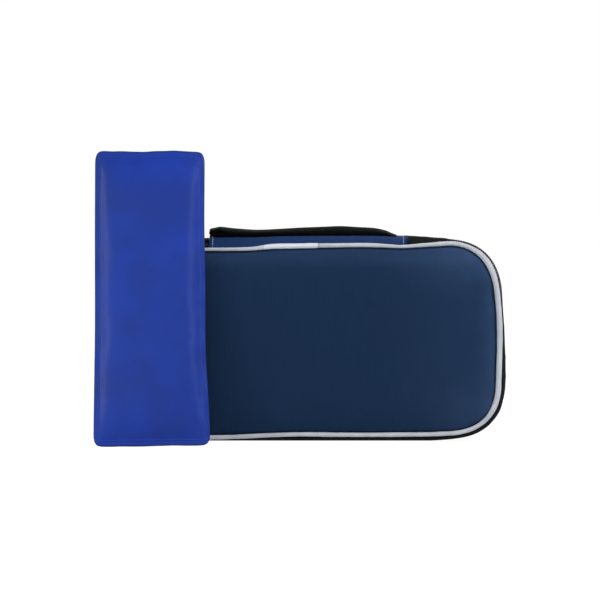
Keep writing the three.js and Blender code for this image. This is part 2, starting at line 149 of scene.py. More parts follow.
# The case outline at the piping line, by length from the top's middle, clockwise seen from the front
class Run:
    """Stations along the outline: place, outward direction and length."""

    def __init__(self, start, end, count, closed=False):
        self.s = np.linspace(start, end, count, endpoint=not closed)
        pieces = [CORNER_X, ARC, SIDE, ARC, 2 * CORNER_X, ARC, SIDE, ARC, CORNER_X]
        marks = np.concatenate([[0], np.cumsum(pieces)])
        s = np.mod(self.s, LOOP)
        part = np.clip(np.searchsorted(marks, s, side="right") - 1, 0, 8)
        along = s - marks[part]
        high, low = EDGE_TOP - CORNER, EDGE_LOW + CORNER
        starts = np.array([
            (0, EDGE_TOP), (CORNER_X, high), (EDGE_X, high), (CORNER_X, low), (CORNER_X, EDGE_LOW),
            (-CORNER_X, low), (-EDGE_X, low), (-CORNER_X, high), (-CORNER_X, EDGE_TOP),
        ])
        turn = np.array([90, 90, 0, 0, -90, -90, 180, 180, 90])[part]
        curved = part % 2 == 1
        angle = np.radians(turn) - np.where(curved, along / CORNER, 0)
        self.nx, self.nz = np.cos(angle), np.sin(angle)
        self.x = starts[part, 0] + np.where(curved, CORNER * self.nx, along * self.nz)
        self.z = starts[part, 1] + np.where(curved, CORNER * self.nz, -along * self.nx)
        share = np.clip((np.abs(self.x) - CORNER_X) / CORNER, 0, None)
        rise = np.sin(math.pi * (self.z - EDGE_LOW) / (EDGE_TOP - EDGE_LOW))
        self.x = self.x + np.sign(self.x) * share * SIDE_BOW * rise

    def place(self, out, depth, side):
        """Points at a distance out of the outline and a depth from the zip plane."""
        return np.stack(np.broadcast_arrays(self.x + out * self.nx, side * depth, self.z + out * self.nz), -1)


ZIP_RUN = (SPINE_END, LOOP - SPINE_END)

# How the soft case departs from its outline: the piping line waves along the top, the bottom and up the sides
TOP_WAVE = ([-95, -70, -50, -28, -20, 5, 28, 38, 46, 56, 70, 82, 95],
            [0, -0.9, -1.1, -0.9, 0.4, 0.85, 1.15, 0.85, 0.1, 1.0, 1.9, 1.3, 0])
LOW_WAVE = ([-95, -46, -34, -22, -10, -4, 14, 32, 50, 62, 68, 74, 80, 86, 95],
            [-0.6, -1.1, -0.7, 0, 0.4, 0.55, 0.3, 0.25, 0.4, 0.5, 0.9, 1.1, 0.85, 0.5, 0.2])
SIDE_WAVE = ([15, 26, 35, 44, 53, 62, 66, 71, 75, 80, 85, 90],
             [0.25, 0.15, 0.2, 0.3, 0.4, 0.35, 0.05, -0.15, -0.6, -0.7, -0.3, 0.3])
WAVE_GRID = np.linspace(-100, 100, 401)
BLUR_REACH, BLUR_WIDTH = 20, 9
REAR_SHARE = 0.6

# Where those moves set in, as from and to, and how large they are
FACE_FADE = (15.5, 19.5)
BAND_FADE = (1, 10)
SPINE_FADE = (2, 17)
TOP_FADE = (82, 96.5)
LOW_FADE = (3, 16)
LIFT_FADE = (60, 77)
FLANK_FADE = (60, 76)
REAR_FADE = (1, 6)
ROUND_FADE = (50, 60)
UPPER_SIDE, LOWER_SIDE = (84, 17), (30, 17)
CORNER_LIFT = 0.9
UPPER_LEAN, LOWER_LEAN, ZIP_LEAN = 2.1, 0.7, 0.5
UPPER_FULL, LOWER_FULL, BAND_FULL = 1.1, 0.6, 0.9


def through(value, wave):
    """A smooth line through a wave's marks."""
    kernel = bell(np.arange(-BLUR_REACH, BLUR_REACH + 1), 0, BLUR_WIDTH)
    rough = np.pad(np.interp(WAVE_GRID, *wave), BLUR_REACH, mode="edge")
    return np.interp(value, WAVE_GRID, np.convolve(rough, kernel / kernel.sum(), mode="valid"))


def outward(x, z):
    """The direction out of the case's outline, level along the sides and turning round the corners."""
    out_x = np.clip(np.abs(x) - CORNER_X, 0.001, None)
    out_z = np.clip(z - EDGE_TOP + CORNER, 0, None) - np.clip(EDGE_LOW + CORNER - z, 0, None)
    size = np.hypot(out_x, out_z)
    return np.sign(x) * out_x / size, out_z / size


def soften(points, side):
    """Moves points of the case's cloth: the edges wave, the sides lean and the corners are full."""
    x, y, z = points[..., 0], points[..., 1], points[..., 2]
    depth = side * y
    moved = points.copy()
    share = 1 if side == FRONT else REAR_SHARE
    top, low = (share * through(-side * x, wave) for wave in (TOP_WAVE, LOW_WAVE))
    face = ease(depth, *FACE_FADE)
    band = ease(depth, *BAND_FADE) * (1 - face)
    risen = top * ease(z, *TOP_FADE) * ease(depth, *SPINE_FADE)
    lifted = low * face + CORNER_LIFT * ease(np.abs(x), *LIFT_FADE) * band
    moved[..., 2] = z + risen + lifted * (1 - ease(z, *LOW_FADE))
    out_x, out_z = outward(x, z)
    upper, lower = bell(z, *UPPER_SIDE), bell(z, *LOWER_SIDE)
    lean = band * (LOWER_LEAN * lower - UPPER_LEAN * upper) + face * through(z, SIDE_WAVE)
    behind = -ZIP_LEAN * upper * ease(depth, *REAR_FADE) if side == REAR else 0
    shift = ease(np.abs(x), *FLANK_FADE) * (lean + behind - ZIP_LEAN * upper * (1 - band - face))
    full = (2 * out_x * out_z) ** 2 * np.where(z > MIDDLE_Z, UPPER_FULL, LOWER_FULL + BAND_FULL * band)
    moved[..., 0] += (shift + full) * out_x
    moved[..., 2] += (shift * ease(z, *ROUND_FADE) + full) * out_z
    return moved


# Meshes
MERGE = 1e-6


def to_frame(points):
    """Millimetres about the zip plane to metres in the frame."""
    return (np.asarray(points, float) + [0, ZIP_Y, 0]) * MM


def linked(name, data):
    """A new object in the scene."""
    obj = bpy.data.objects.new(name, data)
    bpy.context.scene.collection.objects.link(obj)
    return obj


def evaluated(obj):
    """The mesh of an object with its modifiers applied."""
    seen = obj.evaluated_get(bpy.context.evaluated_depsgraph_get())
    return bpy.data.meshes.new_from_object(seen)


def from_work(name, work, material):
    """A smooth object made of a bmesh, which is freed."""
    mesh = bpy.data.meshes.new(name)
    work.to_mesh(mesh)
    work.free()
    mesh.materials.append(material)
    mesh.shade_smooth()
    return linked(name, mesh)


def mesh_object(name, points, faces, material, uvs):
    """A plain closed mesh, merged and pointed outwards. uvs has one pair for each face corner, in metres."""
    mesh = bpy.data.meshes.new(name)
    mesh.from_pydata([tuple(p) for p in points], [], faces)
    layer = mesh.uv_layers.new(name="cloth")
    layer.data.foreach_set("uv", np.asarray(uvs, np.float32).ravel())
    work = bmesh.new()
    work.from_mesh(mesh)
    bpy.data.meshes.remove(mesh)
    bmesh.ops.remove_doubles(work, verts=work.verts, dist=MERGE)
    loose = [v for v in work.verts if not v.link_faces]
    bmesh.ops.delete(work, geom=loose, context="VERTS")
    bmesh.ops.recalc_face_normals(work, faces=work.faces)
    return from_work(name, work, material)


def running(line):
    """Length along a line, at each of its points."""
    return np.concatenate([[0], np.cumsum(np.linalg.norm(np.diff(line, axis=0), axis=1))])


def lengths(points):
    """Running length along the first axis, taken at the middle of the others."""
    return running(points.reshape(len(points), -1, 3).mean(1))


def surface(name, rows, material, around=False, ring=False, capped=False, flat_uv=False):
    """Quads over a grid of points. around closes the columns, ring the rows, capped the ends."""
    points = to_frame(rows)
    n_rows, n_cols = points.shape[:2]
    wrapped = np.concatenate([points, points[:, :1]], 1) if around else points
    u = lengths(np.concatenate([points, points[:1]], 0) if ring else points)
    v = lengths(np.swapaxes(wrapped, 0, 1))
    faces, uvs = [], []
    for r in range(n_rows if ring else n_rows - 1):
        q = (r + 1) % n_rows
        for c in range(n_cols if around else n_cols - 1):
            d = (c + 1) % n_cols
            faces.append((r * n_cols + c, r * n_cols + d, q * n_cols + d, q * n_cols + c))
            if flat_uv:
                uvs += [(p[0], p[2]) for p in (points[r, c], points[r, d], points[q, d], points[q, c])]
            else:
                uvs += [(u[r], v[c]), (u[r], v[c + 1]), (u[r + 1], v[c + 1]), (u[r + 1], v[c])]
    if capped:
        for r, order in ((0, 1), (n_rows - 1, -1)):
            faces.append(tuple(r * n_cols + c for c in range(n_cols))[::order])
            uvs += [(u[r], v[c]) for c in range(n_cols)][::order]
    return mesh_object(name, points.reshape(-1, 3), faces, material, uvs)


def sweep(name, profile, side, material, run, fold=None, ring=False):
    """A closed profile of [out, depth] along a run. fold(rows, run) shapes it before the case softens it."""
    rows = np.stack([run.place(out, depth, side) for out, depth in profile], 1)
    if fold is not None:
        rows = fold(rows, run)
    return surface(name, soften(rows, side), material, around=True, ring=ring, capped=not ring)


def rounded(profile, radius, steps=3):
    """A closed profile with its corners rounded."""
    points = [np.array(p, float) for p in profile]
    result = []
    for i, corner in enumerate(points):
        before = points[i - 1] - corner
        after = points[(i + 1) % len(points)] - corner
        reach = min(radius, np.linalg.norm(before) * 0.45, np.linalg.norm(after) * 0.45)
        start = corner + before / np.linalg.norm(before) * reach
        end = corner + after / np.linalg.norm(after) * reach
        for t in np.linspace(0, 1, steps + 1):
            result.append((1 - t) ** 2 * start + 2 * t * (1 - t) * corner + t * t * end)
    return result


def placed(obj, body, slot, *nodes):
    """A finished piece that rides on a body and stands for CAD nodes."""
    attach(obj, body)
    if nodes:
        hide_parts(*nodes)
    return obj


# Shader trees
class Wire:
    """A shader socket that joins in Python arithmetic, where each operation adds a Math node."""

    def __init__(self, paint, socket):
        self.paint = paint
        self.socket = socket

    def math(self, operation, *values):
        return self.paint.node("ShaderNodeMath", {"operation": operation}, dict(enumerate((self,) + values)))

    def __add__(self, other):
        return self.math("ADD", other)

    def __sub__(self, other):
        return self.math("SUBTRACT", other)

    def __rsub__(self, other):
        return self.paint.node("ShaderNodeMath", {"operation": "SUBTRACT"}, {0: other, 1: self})

    def __mul__(self, other):
        return self.math("MULTIPLY", other)

    __radd__ = __add__
    __rmul__ = __mul__

    def sin(self):
        return self.math("SINE")

    def abs(self):
        return self.math("ABSOLUTE")

    def step(self, low, high):
        """0 below low, 1 above high, smooth between."""
        inputs = {"Value": self, "From Min": low, "From Max": high}
        return self.paint.node("ShaderNodeMapRange", {"interpolation_type": "SMOOTHSTEP"}, inputs)


class Paint:
    """A material and its node tree. node() adds any node and gives one of its outputs as a Wire."""

    def __init__(self, name, **constants):
        self.material = bpy.data.materials.new(name)
        self.material.use_nodes = True
        self.tree = self.material.node_tree
        self.shader = self.tree.nodes["Principled BSDF"]
        for socket, value in constants.items():
            self.shader.inputs[socket.replace("_", " ")].default_value = value

    def feed(self, socket, value):
        if isinstance(value, Wire):
            self.tree.links.new(value.socket, socket)
        elif hasattr(value, "__len__") and len(value) < len(socket.default_value):
            socket.default_value = (*value, 1)
        else:
            socket.default_value = value

    def node(self, kind, settings=None, inputs=None, output=0):
        made = self.tree.nodes.new(kind)
        for key, value in (settings or {}).items():
            setattr(made, key, value)
        for key, value in (inputs or {}).items():
            self.feed(made.inputs[key], value)
        return Wire(self, made.outputs[output])

    def set(self, **inputs):
        for socket, value in inputs.items():
            self.feed(self.shader.inputs[socket.replace("_", " ")], value)

    def spot(self):
        return self.node("ShaderNodeTexCoord", output="Object")

    def cloth(self):
        return self.node("ShaderNodeUVMap", {"uv_map": "cloth"})

    def parts(self, vector):
        split = self.node("ShaderNodeSeparateXYZ", inputs={0: vector}).socket.node
        return [Wire(self, out) for out in split.outputs]

    def noise(self, vector, scale, detail=3.0, rough=0.55):
        inputs = {"Vector": vector, "Scale": scale, "Detail": detail, "Roughness": rough}
        return self.node("ShaderNodeTexNoise", inputs=inputs)

    def cells(self, vector, scale, feature="F1"):
        return self.node("ShaderNodeTexVoronoi", {"feature": feature}, {"Vector": vector, "Scale": scale})

    def mix(self, factor, low, high):
        return self.node("ShaderNodeMix", {"data_type": "RGBA"}, {0: factor, 6: low, 7: high}, output=2)

    def bump(self, height, distance, strength=1.0, under=None):
        inputs = {"Height": height, "Distance": distance, "Strength": strength}
        if under is not None:
            inputs["Normal"] = under
        return self.node("ShaderNodeBump", inputs=inputs)


def linear(code):
    """A colour as written in hex, as linear light."""
    channels = [int(code[i:i + 2], 16) / 255 for i in (1, 3, 5)]
    return tuple(c / 12.92 if c <= 0.04045 else ((c + 0.055) / 1.055) ** 2.4 for c in channels)


def scaled(colour, factor):
    return tuple(min(1.0, c * factor) for c in colour)


def woven(name, code, pitch, sheen=0.02, rough=0.8, contrast=0.3, relief=0.00012, painted_sheen=None):
    """Plain-weave cloth: raised threads with painted shade between them, slow tones, a little lint, and
    painted sheen on the shoulders up and to the right.
    """
    paint = Paint(name, Sheen_Weight=sheen, Sheen_Roughness=0.4, Specular_IOR_Level=0.08)
    colour = linear(code)
    uv = paint.cloth()
    u, v, _ = paint.parts(uv)
    turn = 2 * math.pi / pitch
    thread = (u * turn).sin() * (v * turn).sin()
    slub = paint.noise(uv, 900.0, 2.0)
    tone = paint.noise(uv, 26.0, 4.0)
    lint = paint.noise(uv, 2600.0, 1.0).step(0.71, 0.8)
    base = paint.mix(tone.step(0.3, 0.7), scaled(colour, 1 - contrast / 2), scaled(colour, 1 + contrast / 2))
    # Painted shade of the weave: the thread crests are lighter and the gaps between threads darker, mixed with
    # the slubs' own tone.
    threads = paint.mix((thread * 0.5 + 0.5) * 0.6 + slub * 0.4, scaled(colour, 0.7), scaled(colour, 1.35))
    pulled = paint.node("ShaderNodeCombineXYZ", inputs={0: u * 1300.0, 1: v * 60.0})
    streak = paint.noise(pulled, 1.0, 2.0).step(0.3, 0.7)
    yarns = paint.mix(streak, scaled(colour, 0.82), scaled(colour, 1.18))
    cloth = paint.mix(0.3, paint.mix(0.45, base, threads), yarns)
    if painted_sheen:
        # Painted sheen: the right shoulder, the top shoulder and the lower right are painted lighter, as where
        # light falls from the upper right, made uneven by a noise patch.
        x, _, z = paint.parts(paint.spot())
        right, top = x.step(0.083, 0.093), z.step(0.086, 0.093)
        patch = paint.noise(uv, 70.0, 3.0) + 0.5
        sheen_share = right * 0.14 + top * 0.1 + x.step(0.03, 0.085) * (0.06 + z.step(0.07, 0.095) * 0.16)
        sheen_share = sheen_share + x.step(0.055, 0.085) * (1 - z.step(0.014, 0.034)) * 0.1
        cloth = paint.mix(sheen_share * patch, cloth, linear(painted_sheen))
    paint.set(Base_Color=paint.mix(lint * 0.35, cloth, scaled(colour, 4.0)))
    paint.set(Roughness=rough + (tone - 0.5) * 0.2)
    fine = paint.bump(thread * 0.7 + slub * 0.6, relief, 0.8)
    paint.set(Normal=paint.bump(tone, 0.0006, 0.25, fine))
    return paint.material


def webbing(name, code, rib, pick):
    """Heavy ribbed weave: ribs along the strip, crossed by picks that step from rib to rib."""
    paint = Paint(name, Specular_IOR_Level=0.02)
    colour = linear(code)
    uv = paint.cloth()
    u, v, _ = paint.parts(uv)
    ribs = (v * (math.pi / rib)).sin().abs()
    lean = (v * (2 * math.pi / (2 * rib))).sin() * 1.2
    picks = (u * (2 * math.pi / pick) + lean).sin() * 0.5 + 0.5
    fuzz = paint.noise(uv, 1500.0, 2.0)
    height = ribs * 0.6 + picks * 0.4
    # Painted shade of the weave: the raised ribs and picks are lighter and the grooves between them darker,
    # mixed with the fuzz's own tone.
    paint.set(Base_Color=paint.mix(height * 0.7 + fuzz * 0.3, scaled(colour, 0.5), scaled(colour, 1.8)))
    paint.set(Roughness=0.72 + fuzz * 0.2)
    paint.set(Normal=paint.bump(height + fuzz * 0.3, 0.0003, 0.9))
    return paint.material


def piping_cloth(name, code):
    """Bias-cut woven tape over a cord: a slanting twill, faint grime and a sewn join at the top."""
    paint = Paint(name, Sheen_Weight=0.2, Specular_IOR_Level=0.3)
    colour = linear(code)
    uv = paint.cloth()
    u, v, _ = paint.parts(uv)
    twill = (u * (2 * math.pi / 0.0006) + v * (2 * math.pi / 0.0009)).sin()
    grime = paint.noise(uv, 60.0, 5.0, 0.65)
    x, _, z = paint.parts(paint.spot())
    top = z.step(0.093, 0.095)
    # The overlapping end of the piping along the top, from about x -22 to 5 mm, is lighter.
    overlap_lighter = x.step(-0.0224, -0.022) * (1 - x.step(0.0048, 0.0052)) * top
    join = (1 - (x - 0.005).abs().step(0.0002, 0.0007)) * top
    clean = paint.mix(grime.step(0.35, 0.75), scaled(colour, 0.88), scaled(colour, 1.06))
    overlap_toned = paint.mix(overlap_lighter * 0.8, clean, scaled(colour, 1.35))
    paint.set(Base_Color=paint.mix(join * 0.55, overlap_toned, scaled(colour, 0.25)))
    paint.set(Roughness=0.6 + grime * 0.25)
    paint.set(Normal=paint.bump(twill * 0.4 + grime, 0.00012, 0.7))
    return paint.material


# The vinyl's highlights take a tint from the film
SKY = (0.65, 0.82, 1.0, 1.0)


def vinyl(name, code):
    """Soft glossy film: fine grain, cloudy tone, faint scuffs and two weld lines round the edge, with painted
    shade on the outer rim and a painted highlight along the inner weld line.
    """
    paint = Paint(name, Specular_IOR_Level=0.3, Specular_Tint=SKY, Coat_Tint=SKY, Coat_Roughness=0.35)
    colour = linear(code)
    spot = paint.spot()
    u, v, _ = paint.parts(paint.cloth())
    beside = PACK_WIDTH * MM / 2 - u.abs()
    above = PACK_HEIGHT * MM / 2 - (v - PACK_HEIGHT * MM / 2).abs()
    inset = beside.math("MINIMUM", above)
    weld = 1 - (inset - 0.0026).abs().step(0.0002, 0.0006)
    rim = 1 - inset.step(0.0004, 0.0014)
    cloud = paint.noise(spot, 45.0, 4.0)
    grain = paint.cells(spot, 1400.0)
    scuff = paint.noise(spot, 320.0, 5.0, 0.7).step(0.6, 0.78)
    base = paint.mix(cloud.step(0.3, 0.7), scaled(colour, 0.85), scaled(colour, 1.15))
    # Painted shade: the outer rim of the film is darker.
    rim_shaded = paint.mix(rim * 0.55, base, scaled(colour, 0.5))
    # Painted highlight: a lighter line along the weld, which the bump also raises.
    weld_highlighted = paint.mix(weld * 0.3, rim_shaded, scaled(colour, 1.7))
    paint.set(Base_Color=paint.mix(scuff * 0.1, weld_highlighted, scaled(colour, 2.2)))
    paint.set(Roughness=0.36 + cloud * 0.12 + scuff * 0.15)
    paint.set(Coat_Weight=0.01 + cloud * 0.02)
    ripples = paint.noise(spot, 110.0, 3.0)
    soft = paint.bump(ripples, 0.0008, 0.25, paint.bump(grain, 0.00006, 0.5))
    paint.set(Normal=paint.bump(weld, 0.0004, 0.8, soft))
    return paint.material


def foil(name, code):
    """Crinkled aluminised film: sharp facets over soft ones, with painted shade along the creases."""
    paint = Paint(name, Specular_IOR_Level=0.5)
    colour = linear(code)
    spot = paint.spot()
    bent = paint.node("ShaderNodeVectorMath", {"operation": "MULTIPLY_ADD"}, {
        0: paint.node("ShaderNodeTexNoise", inputs={"Vector": spot, "Scale": 90.0}, output="Color"),
        1: (0.012, 0.012, 0.012), 2: spot})
    large = paint.cells(bent, 85.0, "DISTANCE_TO_EDGE")
    small = paint.cells(bent, 260.0, "DISTANCE_TO_EDGE")
    crease = 1 - large.step(0.0, 0.05)
    paint.set(Metallic=0.85 - crease * 0.1)
    # Painted shade: the creases are darker.
    paint.set(Base_Color=paint.mix(crease * 0.3, colour, scaled(colour, 0.75)))
    paint.set(Roughness=0.34 + small * 0.2)
    paint.set(Normal=paint.bump(large + small * 0.35, 0.0008, 0.6))
    return paint.material


def closed_foam(name, code):
    """Closed-cell foam: a skin of fine pores, with painted shade darkening each pore."""
    paint = Paint(name, Specular_IOR_Level=0.2)
    colour = linear(code)
    spot = paint.spot()
    pores = paint.cells(spot, 1100.0)
    tone = paint.noise(spot, 80.0, 4.0)
    # Painted shade in the pores, mixed with random tone.
    paint.set(Base_Color=paint.mix(pores.step(0.1, 0.5) * 0.6 + tone * 0.4, scaled(colour, 0.8), colour))
    paint.set(Roughness=0.85 + tone * 0.1)
    paint.set(Normal=paint.bump(pores, 0.0003, 0.7))
    return paint.material


def plastic(name, code, rough=0.4):
    """Moulded nylon with a slight haze."""
    paint = Paint(name, Specular_IOR_Level=0.4)
    colour = linear(code)
    haze = paint.noise(paint.spot(), 700.0, 3.0)
    paint.set(Base_Color=paint.mix(haze, scaled(colour, 0.8), scaled(colour, 1.4)))
    paint.set(Roughness=rough + haze * 0.2)
    paint.set(Normal=paint.bump(haze, 0.00005, 0.5))
    return paint.material


def gunmetal(name, code):
    """Plated die-cast metal, lighter where it rubs."""
    paint = Paint(name, Specular_IOR_Level=0.5)
    colour = linear(code)
    spot = paint.spot()
    cast = paint.noise(spot, 900.0, 3.0)
    rub = paint.noise(spot, 260.0, 5.0, 0.7).step(0.52, 0.72)
    paint.set(Base_Color=paint.mix(rub * 0.5, colour, scaled(colour, 3.5)))
    paint.set(Metallic=0.9 - rub * 0.1)
    paint.set(Roughness=0.32 + cast * 0.15 - rub * 0.08)
    paint.set(Normal=paint.bump(cast, 0.00005, 0.5))
    return paint.material


def soft_gel(name, code):
    """Clouded gel."""
    paint = Paint(name, Specular_IOR_Level=0.5)
    colour = linear(code)
    cloud = paint.noise(paint.spot(), 120.0, 4.0)
    paint.set(Base_Color=paint.mix(cloud, scaled(colour, 0.8), scaled(colour, 1.2)))
    paint.set(Roughness=0.25 + cloud * 0.15)
    return paint.material


# The navy cloth's painted sheen colour, for its shoulders lit from the upper right.
NAVY = woven("navy_nylon", "#132946", 0.00055, contrast=0.14, painted_sheen="#4a638c")
BLUE = woven("bright_blue_nylon", "#14305b", 0.00055)
BLACK = woven("black_nylon", "#101114", 0.0006)
TAPE = woven("zip_tape", "#0e0f11", 0.0007)
SILVER = piping_cloth("silver_piping", "#b8bcc4")
WEB = webbing("black_webbing", "#050606", 0.0016, 0.0022)
ELASTIC = webbing("black_elastic", "#17181a", 0.0012, 0.0016)
NET = plastic("net_yarn", "#16171a", 0.6)
COIL = plastic("coil_nylon", "#1c1d20", 0.38)
THREAD = woven("white_thread", "#a9bcd8", 0.0004)
DARK_THREAD = woven("dark_thread", "#1d1f23", 0.0004)
GREY_THREAD = woven("grey_thread", "#5a5d63", 0.0004)
METAL = gunmetal("slider_gunmetal", "#3a3c40")
FOIL = foil("foil_lining", "#c9ccd2")
FOAM = closed_foam("insulating_foam", "#dfe0e2")
VINYL = vinyl("blue_vinyl", "#0b2b88")
GEL = soft_gel("gel", "#3b6fc4")


# Panels: crowned cloth with puckers along the piping and soft dents
def panel_rings(count, rim, steps_in=17, steps_on=16):
    """Rings from the rim to the panel's middle line, with each point's distance from the rim."""
    run = Run(0, LOOP, count, closed=True)
    rings, reach = [], []
    for inset in rim + CURVE_BAND * np.linspace(0, 1, steps_in) ** 1.8:
        rings.append(run.place(-inset, 0, FRONT))
        reach.append(np.full(count, inset - rim))
    edge = rings[-1]
    line = edge.copy()
    line[:, 0] = np.clip(edge[:, 0], -CORNER_X, CORNER_X)
    line[:, 2] = MIDDLE_Z
    for inward in np.linspace(0, 1, steps_on)[1:]:
        rings.append(edge + (line - edge) * inward)
        reach.append(CURVE_BAND + np.linalg.norm(line - edge, axis=1) * inward)
    return run, np.array(rings), np.array(reach)


# Dents in a panel: x and z of the middle, half width, half height and depth
DENTS = [(91, 74, 7, 3.2, -0.8), (88, 80, 9, 3.5, 0.5), (90, 57, 8, 4, -0.55), (88, 36, 9, 4.5, -0.6),
         (84, 17, 10, 5, 0.5), (58, 84, 12, 5, 0.45), (-20, 88, 16, 4, -0.5), (12, 14, 18, 5, -0.35)]
PUCKER, TUG, SLACK, GROOVE = 0.22, 0.38, 0.5, 1.6


def panel_relief(side, run, rings, reach):
    """How far the cloth stands off the plain crown."""
    seed = 3 if side == FRONT else 8
    x, z = rings[..., 0], rings[..., 2]
    pucker = waves(run.s, seed, 2.6) * PUCKER * np.exp(-reach / 3.2)
    tug = waves(run.s, seed + 1, 7.0) * TUG * np.exp(-reach / 9.0) * (1 - np.exp(-reach / 2.0))
    slack = lumps(x, 0, z, 34, seed) * SLACK * (1 - np.exp(-reach / 8))
    groove_width = 0.7 + 0.5 * ease(x * -side, 84, 92) * ease(z, 15, 40)
    groove = -GROOVE * np.exp(-((reach / groove_width) ** 2))
    relief = pucker + tug + slack + groove
    for centre_x, centre_z, wide, tall, depth in DENTS:
        relief = relief + depth * bell(x, centre_x * -side, wide) * bell(z, centre_z, tall)
    return relief


def panel_face(side, count, rim):
    """The panel's outer face, as rings from an inset of the outline to the middle line."""
    run, rings, reach = panel_rings(count, rim)
    reach = reach + rim - PANEL_RIM
    crown = PANEL_CROWN * (1 - np.exp(-reach / CROWN_RUN))
    rings[..., 1] = side * (HALF_DEPTH + PANEL_SKIN / 2 + crown + panel_relief(side, run, rings, reach))
    return rings


def panel(name, side):
    outer = panel_face(side, 360, PANEL_RIM)
    inner = outer - [0, side * PANEL_SKIN, 0]
    rows = np.concatenate([outer[::-1], inner], 0)
    return surface(name, soften(rows, side), NAVY, around=True, flat_uv=True)


def foam_board(name, side):
    """The pad behind a panel, crowned as the panel is and flat where the lining lies."""
    outer = panel_face(side, 180, BOARD_RIM) - [0, side * (PANEL_SKIN + FOAM_GAP), 0]
    back = outer.copy()
    back[..., 1] = side * BOARD_FACE
    rows = np.concatenate([outer[::-1], back], 0)
    return surface(name, soften(rows, side), FOAM, around=True, flat_uv=True)


# Piping: a cord in bias tape that is pinched here and there along the top
PINCH = ([-60, -50, -42, -26, -22.8, -21.9, -14, 4.7, 5.3, 30, 40, 47, 56, 66, 80, 90],
         [0.8, 0.55, 0.6, 0.68, 0.76, 0.87, 0.94, 0.9, 0.79, 0.74, 0.64, 0.57, 0.68, 0.78, 0.8, 0.95])


def piping(name, side, count=720):
    run = Run(0, LOOP, count, closed=True)
    angles = np.linspace(0, 2 * math.pi, 16, endpoint=False)
    upper = 1 + (np.interp(run.x, *PINCH) - 1) * ease(run.nz, 0.5, 0.95)
    lower = 1 - 0.2 * ease(-run.nz, 0.3, 0.9)
    share = np.where(run.z > MIDDLE_Z, upper, lower)
    swell = share * (1 + 0.04 * waves(run.s, 21 + side, 5.0) + 0.03 * waves(run.s, 31 + side, 1.3))
    radius = PIPING * swell
    rows = [run.place(radius * math.cos(a), HALF_DEPTH + radius * math.sin(a), side) for a in angles]
    rows = np.stack(rows, 1)
    rows[..., 1] += side * (0.12 * waves(run.s, 41 + side, 4.0))[:, None]
    return surface(name, soften(rows, side), SILVER, around=True, ring=True)


def seam_shadow(name, side, count=480):
    """The folded seam allowance between panel and piping."""
    profile = rounded([(-2.6, 18.9), (-0.6, 18.4), (-0.6, 18.9), (-2.6, 19.4)], 0.2, 2)
    return sweep(name, profile, side, NAVY, Run(0, LOOP, count, closed=True), ring=True)


# Gussets: side bands that bulge between piping and zip, with drawn-up creases. Each end is lifted or drawn in
GUSSET_ENDS = ((SPINE_END, 1.2), (LOOP - SPINE_END, -1.3))
GUSSET_BULGE, GUSSET_CREASE, GUSSET_SLIM = 0.5, 0.22, 0.25


def gusset(name, side, count=420):
    run = Run(*ZIP_RUN, count)
    shoulder = [(0.2 + 3.0 * math.sin(a), 14.5 + 3.8 * math.cos(a)) for a in np.linspace(0, math.pi / 2, 9)]
    flat = [(3.2, d) for d in np.linspace(13.2, 9.6, 4)]
    hem = [(3.0, 8.9), (2.72, 8.2), (2.68, 7.0), (2.7, 5.9), (2.6, 5.55), (2.2, 5.5)]
    inside = [(1.85, 5.6), (1.8, 8.6), (2.3, 9.3), (2.3, 14.3), (1.9, 15.9), (1.1, 17.0), (0.2, 17.4)]
    profile = shoulder + flat + hem + inside
    depth = np.array([d for _, d in profile])

    def crease(rows, run):
        along = run.s[:, None]
        middle = bell(depth, 13.0, 4.0)[None, :]
        resting = 1 - ease(-run.nz, 0.6, 0.95)[:, None]
        bulge = GUSSET_BULGE * lumps(along, depth[None, :] * 1.6, 0, 17, 5 + side)
        fine = GUSSET_CREASE * waves(run.s, 61 + side, 2.2)[:, None] * bell(depth, 16.5, 2.2)[None, :]
        ends = sum(rise * bell(run.s, at, 12) for at, rise in GUSSET_ENDS)
        lift = ends[:, None] * (ease(depth, 5, 9) * (1 - ease(depth, 15, 18)))[None, :]
        out = (bulge * middle + fine) * resting - GUSSET_SLIM * middle * resting + lift
        rows[..., 0] += out * run.nx[:, None]
        rows[..., 2] += out * run.nz[:, None]
        return rows

    return sweep(name, profile, side, BLACK, run, crease)


# Zip, with the coil's and the hem stitches' lines as out and depth
COIL_PITCH = 1.25
COIL_LINE = (2.35, 1.1)
HEM_LINE = (2.78, 6.9)


def zip_tape(name, side, count=300):
    profile = rounded([(1.0, 0.15), (1.5, 0.15), (1.5, 8.5), (1.0, 8.5)], 0.15, 2)
    return sweep(name, profile, side, TAPE, Run(*ZIP_RUN, count))


